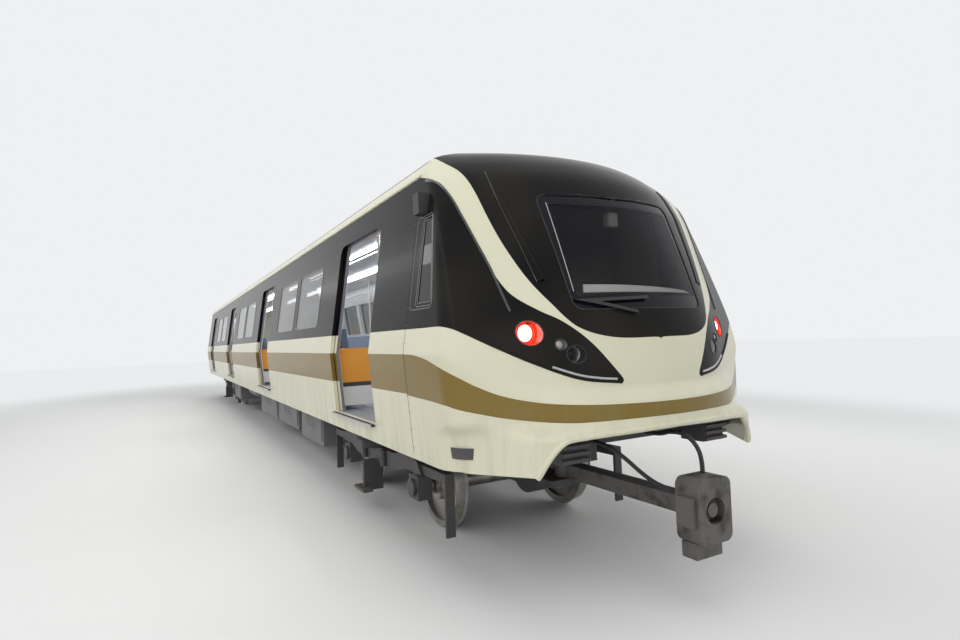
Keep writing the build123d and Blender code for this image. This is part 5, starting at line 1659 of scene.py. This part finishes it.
# %% Driver's seat
CUSHION, BACKREST = (0.46, 0.48, 0.11), (0.09, 0.46, 0.64)
pad("driver_seat_cushion", CUSHION, SEAT_PLACE, 0.0)
pad("driver_seat_back", BACKREST, BACK_PLACE, BACK_LEAN)
pedestal = turned([(0.0, 0.0), (0.0, 0.19), (0.030, 0.19), (0.040, 0.175), (0.050, 0.075),
                   (0.12, 0.06), (0.395, 0.06), (0.40, 0.16), (0.405, 0.0)],
                  (SEAT_PLACE.x, 0, 1.131), (0, 0, 1))
pan = rounded_block(SEAT_PLACE + Vector((-0.21, -0.22, -0.058)),
                    SEAT_PLACE + Vector((0.21, 0.22, -0.042)), 0.005)
shell = leaned(rounded_block((-0.046, -0.21, -0.30), (-0.032, 0.21, 0.30), 0.005), BACK_LEAN,
               BACK_PLACE)
make_piece(gather((pedestal, 0), (pan, 0), (shell, 0),
                  (piping(CUSHION, SEAT_PLACE, 0.0, 2), 1),
                  (piping(BACKREST, BACK_PLACE, BACK_LEAN, 0), 1)),
           "driver_seat_frame", "car_body", [chassis_dark, seal_rubber],
           ("cab_seat",))
print("driver's seat at", tuple(SEAT_PLACE))

# %% [markdown]
# The rear end carries what a crew needs when cars are joined: two grab handles and covered sockets
# for the cables between cars.

# %% Rear fittings
END_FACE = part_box("end_wall")[0][0]
HANDLE_Y, HANDLE_RADIUS = 1.15, 0.013
# Grab handle: place along the car from the end wall's face, and height
HANDLE = [(0.003, 1.32), (-0.055, 1.335), (-0.060, 1.38), (-0.060, 2.22), (-0.055, 2.265),
          (0.003, 2.28)]
HANDLE_ENDS = (1.32, 2.28)
fittings = []
for side in (-1, 1):
    handle_line = through([(END_FACE + along, side * HANDLE_Y, z) for along, z in HANDLE])
    fittings.append((drawn(sampled(handle_line, 40), HANDLE_RADIUS), 0))
    for z in HANDLE_ENDS:
        fittings.append((turned([(0.0, 0.03), (0.008, 0.028), (0.010, 0.0)],
                                (END_FACE + 0.001, side * HANDLE_Y, z), (-1, 0, 0), 24), 0))
    for y in (0.84, 1.02):
        place = Vector((END_FACE, side * y, 1.12))
        fittings.append((rounded_block(place + Vector((-0.05, -0.07, -0.07)),
                                       place + Vector((0.002, 0.07, 0.07)), 0.008), 1))
        fittings.append((turned([(0.048, 0.0), (0.048, 0.048), (0.075, 0.046), (0.082, 0.036),
                                 (0.084, 0.0)], place, (-1, 0, 0), 32), 1))
        latch = [place + Vector(way)
                 for way in ((-0.07, -0.05, 0), (-0.092, 0, 0), (-0.07, 0.05, 0))]
        fittings.append((drawn(latch, 0.005), 0))
make_piece(gather(*fittings), "rear_fittings", "car_body", [brushed_steel, case_grey])
print("rear fittings", len(fittings))

# %% [markdown]
# Each side camera looks back along the train through a small lens in a steel bezel. Both are short
# turned profiles, placed by the box of the cameras themselves.

# %% Camera lenses
BEZEL = [(-0.001, 0.024), (0.004, 0.023), (0.005, 0.018), (0.001, 0.016)]
LENS = [(0.001, 0.016), (0.004, 0.009), (0.005, 0.0)]
LENS_INSET = 0.035
camera_low, camera_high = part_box("side_cameras")
lens_z = (camera_low[2] + camera_high[2]) / 2
lenses = []
for side in (-1, 1):
    place = (camera_low[0], side * (camera_high[1] - LENS_INSET), lens_z)
    lenses.append((turned(BEZEL, place, (-1, 0, 0), 28), 0))
    lenses.append((turned(LENS, place, (-1, 0, 0), 28), 1))
make_piece(gather(*lenses), "camera_lenses", "car_body", [brushed_steel, screen_glass])
print("camera lenses", len(lenses) // 2)

# %% [markdown]
# Two air hoses hang from the body to the coupler's head. Each tube is a grid rolled round the
# route's spline and ribbed by its radius.

# %% Air hoses
HOSE_RADIUS = 0.017
RIB_PITCH, RIB_HEIGHT = 0.011, 0.0022
ROWS_PER_RIB, HEADING_REACH = 6, 0.002
HOSES = {
    "right": (0.805, [(10.880, -0.380, 1.085), (10.975, -0.380, 1.085), (11.093, -0.353, 1.053),
                      (11.163, -0.288, 0.978), (11.216, -0.212, 0.887), (11.284, -0.147, 0.812),
                      (11.400, -0.120, 0.780), (11.4997, -0.120, 0.780)]),
    "left": (0.882, [(10.880, 0.210, 1.085), (10.985, 0.210, 1.085), (11.090, 0.175, 1.105),
                     (11.190, 0.120, 1.135), (11.295, 0.075, 1.153), (11.405, 0.060, 1.156),
                     (11.500, 0.060, 1.101), (11.555, 0.060, 1.006), (11.555, 0.060, 0.8963)]),
}


def spline_points(route):
    """Points along the smooth spline of a route."""
    curve = curve_through(route, "NURBS")
    curve.resolution_u = 12
    curve.splines[0].order_u = 3
    curve.splines[0].use_endpoint_u = True
    return [vert.co.copy() for vert in mesh_of(curve).vertices]


for side_name, (length, route) in HOSES.items():
    points = spline_points(route)
    spans = [(b - a).length for a, b in zip(points, points[1:])]
    whole = sum(spans)
    walked = [sum(spans[:i]) for i in range(len(points))]
    line_of = [[(s, p[axis]) for s, p in zip(walked, points)] for axis in range(3)]

    def centre_at(distance):
        return Vector([along_table(table, distance) for table in line_of])

    across = (centre_at(0.01) - centre_at(0.0)).orthogonal().normalized()
    rows = int(whole / RIB_PITCH * ROWS_PER_RIB)
    frames = []
    for i in range(rows + 1):
        distance = whole * i / rows
        ahead = centre_at(min(distance + HEADING_REACH, whole))
        heading = (ahead - centre_at(max(distance - HEADING_REACH, 0))).normalized()
        across = (across - across.dot(heading) * heading).normalized()
        frames.append((centre_at(distance), across.copy(), heading.cross(across), distance))

    def hose_place(u, v):
        centre, first, second, distance = frames[round(v * rows)]
        radius = HOSE_RADIUS - RIB_HEIGHT * (0.5 - 0.5 * cos(2 * pi * distance / RIB_PITCH))
        return centre + radius * (cos(2 * pi * u) * first + sin(2 * pi * u) * second)

    hose = grid(16, rows, hose_place)
    bmesh.ops.remove_doubles(hose, verts=hose.verts, dist=0.0002)
    bmesh.ops.holes_fill(hose, edges=[e for e in hose.edges if len(e.link_faces) == 1], sides=0)
    bmesh.ops.recalc_face_normals(hose, faces=hose.faces)
    tube = make_piece(hose, f"air_hose_{side_name}", None, [hose_rubber],
                      (f"brake_hose_{side_name}",))
    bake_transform(tube)
    print("hose", side_name, round(whole, 3), "m")

# %% [markdown]
# The studio: a pale floor that fades into a pale backdrop, wherever the camera, a glossy face or
# glass looks far away. One material does it, by mixing in a glow with the distance, so that no
# wall is needed and no edge shows.

# %% Studio floor
bpy.context.scene.view_settings.view_transform = "Standard"
FLOOR_SIZE = 160.0
FADE_STARTS, FADE_ENDS = 5.0, 14.0
bm = bmesh.new()
bmesh.ops.create_grid(bm, x_segments=1, y_segments=1, size=FLOOR_SIZE / 2)
mesh = bpy.data.meshes.new("studio_floor")
bm.to_mesh(mesh)
bm.free()
studio_floor = bpy.data.objects.new("studio_floor", mesh)
bpy.context.scene.collection.objects.link(studio_floor)
ground = Finish("studio_floor", Roughness=0.7)
ground.set("Base Color", ground.mix(ground.noise(0.3), (0.76, 0.76, 0.75), (0.80, 0.80, 0.79)))
away = ground.node("ShaderNodeVectorMath", {"operation": "LENGTH"},
                   {0: ground.stretch(0.55, 1.0, 1.0)}, "Value")
looking = 0.0
for kind in ("Camera", "Glossy", "Transmission"):
    ray = ground.node("ShaderNodeLightPath", output=f"Is {kind} Ray")
    looking = ground.node("ShaderNodeMath", {"operation": "MAXIMUM"}, {0: looking, 1: ray})
far = ground.step(away, FADE_STARTS, FADE_ENDS) * looking
haze = ground.node("ShaderNodeEmission", {}, {"Color": (0.86, 0.87, 0.88, 1.0), "Strength": 0.96})
pale = ground.node("ShaderNodeMixShader", {}, {0: far, 2: haze})
ground.tree.links.new(ground.shader.outputs[0], pale.socket.node.inputs[1])
ground.tree.links.new(pale.socket, ground.tree.nodes["Material Output"].inputs["Surface"])
mesh.materials.append(ground.material)
print("floor", FLOOR_SIZE, "m wide")

# %% [markdown]
# The world gives a faint light from all round, while the camera, gloss and glass see a bright
# backdrop in its place. Two backgrounds mixed by the kind of ray do that, so the bright one doesn't
# flatten the shadows.

# %% Backdrop
world = bpy.data.worlds.new("studio")
bpy.context.scene.world = world
world.use_nodes = True
tree = world.node_tree
background = tree.nodes["Background"]
background.inputs["Color"].default_value = (0.80, 0.82, 0.84, 1)
background.inputs["Strength"].default_value = 0.22
backdrop = tree.nodes.new("ShaderNodeBackground")
backdrop.inputs["Color"].default_value = (0.86, 0.87, 0.88, 1)
backdrop.inputs["Strength"].default_value = 1.0
path = tree.nodes.new("ShaderNodeLightPath")
seen = path.outputs["Is Camera Ray"]
for kind in ("Glossy", "Transmission"):
    either = tree.nodes.new("ShaderNodeMath")
    either.operation = "MAXIMUM"
    tree.links.new(seen, either.inputs[0])
    tree.links.new(path.outputs[f"Is {kind} Ray"], either.inputs[1])
    seen = either.outputs[0]
choose = tree.nodes.new("ShaderNodeMixShader")
tree.links.new(seen, choose.inputs[0])
tree.links.new(background.outputs[0], choose.inputs[1])
tree.links.new(backdrop.outputs[0], choose.inputs[2])
tree.links.new(choose.outputs[0], tree.nodes["World Output"].inputs["Surface"])
print("backdrop seen by the camera, gloss and glass")

# %% [markdown]
# Large soft lamps run along the car, so that its long curves show. Each is an area light turned
# towards a point of the car by a matrix, which stays put where a constraint could move.

# %% Soft lamps
# Lamp: name, place, point it faces, length, width, watts, whether gloss shows it
SOFT_LAMPS = [
    ("platform_strip", (2.0, -5.5, 5.6), (2.0, -1.0, 2.0), 30.0, 0.5, 70, True),
    ("platform_fill", (2.0, -7.5, 5.0), (2.0, -1.0, 1.8), 30.0, 4.0, 500, False),
    ("overhead", (2.0, -1.0, 9.0), (2.0, 0.0, 0.0), 34.0, 8.0, 1080, False),
    ("front", (22.0, -6.0, 6.5), (11.0, 0.0, 1.8), 12.0, 7.0, 600, False),
    ("far_side", (2.0, 9.0, 5.0), (2.0, 0.0, 1.8), 26.0, 3.0, 700, False),
]
for name, place, target, length, width, watts, in_gloss in SOFT_LAMPS:
    light = bpy.data.lights.new(name, "AREA")
    light.shape = "RECTANGLE"
    light.size = length
    light.size_y = width
    light.energy = watts
    lamp = bpy.data.objects.new(name, light)
    lamp.visible_glossy = in_gloss
    bpy.context.scene.collection.objects.link(lamp)
    lamp.location = place
    facing = (Vector(target) - Vector(place)).normalized()
    across = Vector((1, 0, 0)) if abs(facing.x) < 0.7 else Vector((0, 1, 0))
    side_way = (across - across.dot(facing) * facing).normalized()
    lamp.matrix_world = Matrix.Translation(place) @ Matrix(
        (side_way, -facing.cross(side_way), -facing)).transposed().to_4x4()
print("lamps", len(SOFT_LAMPS))
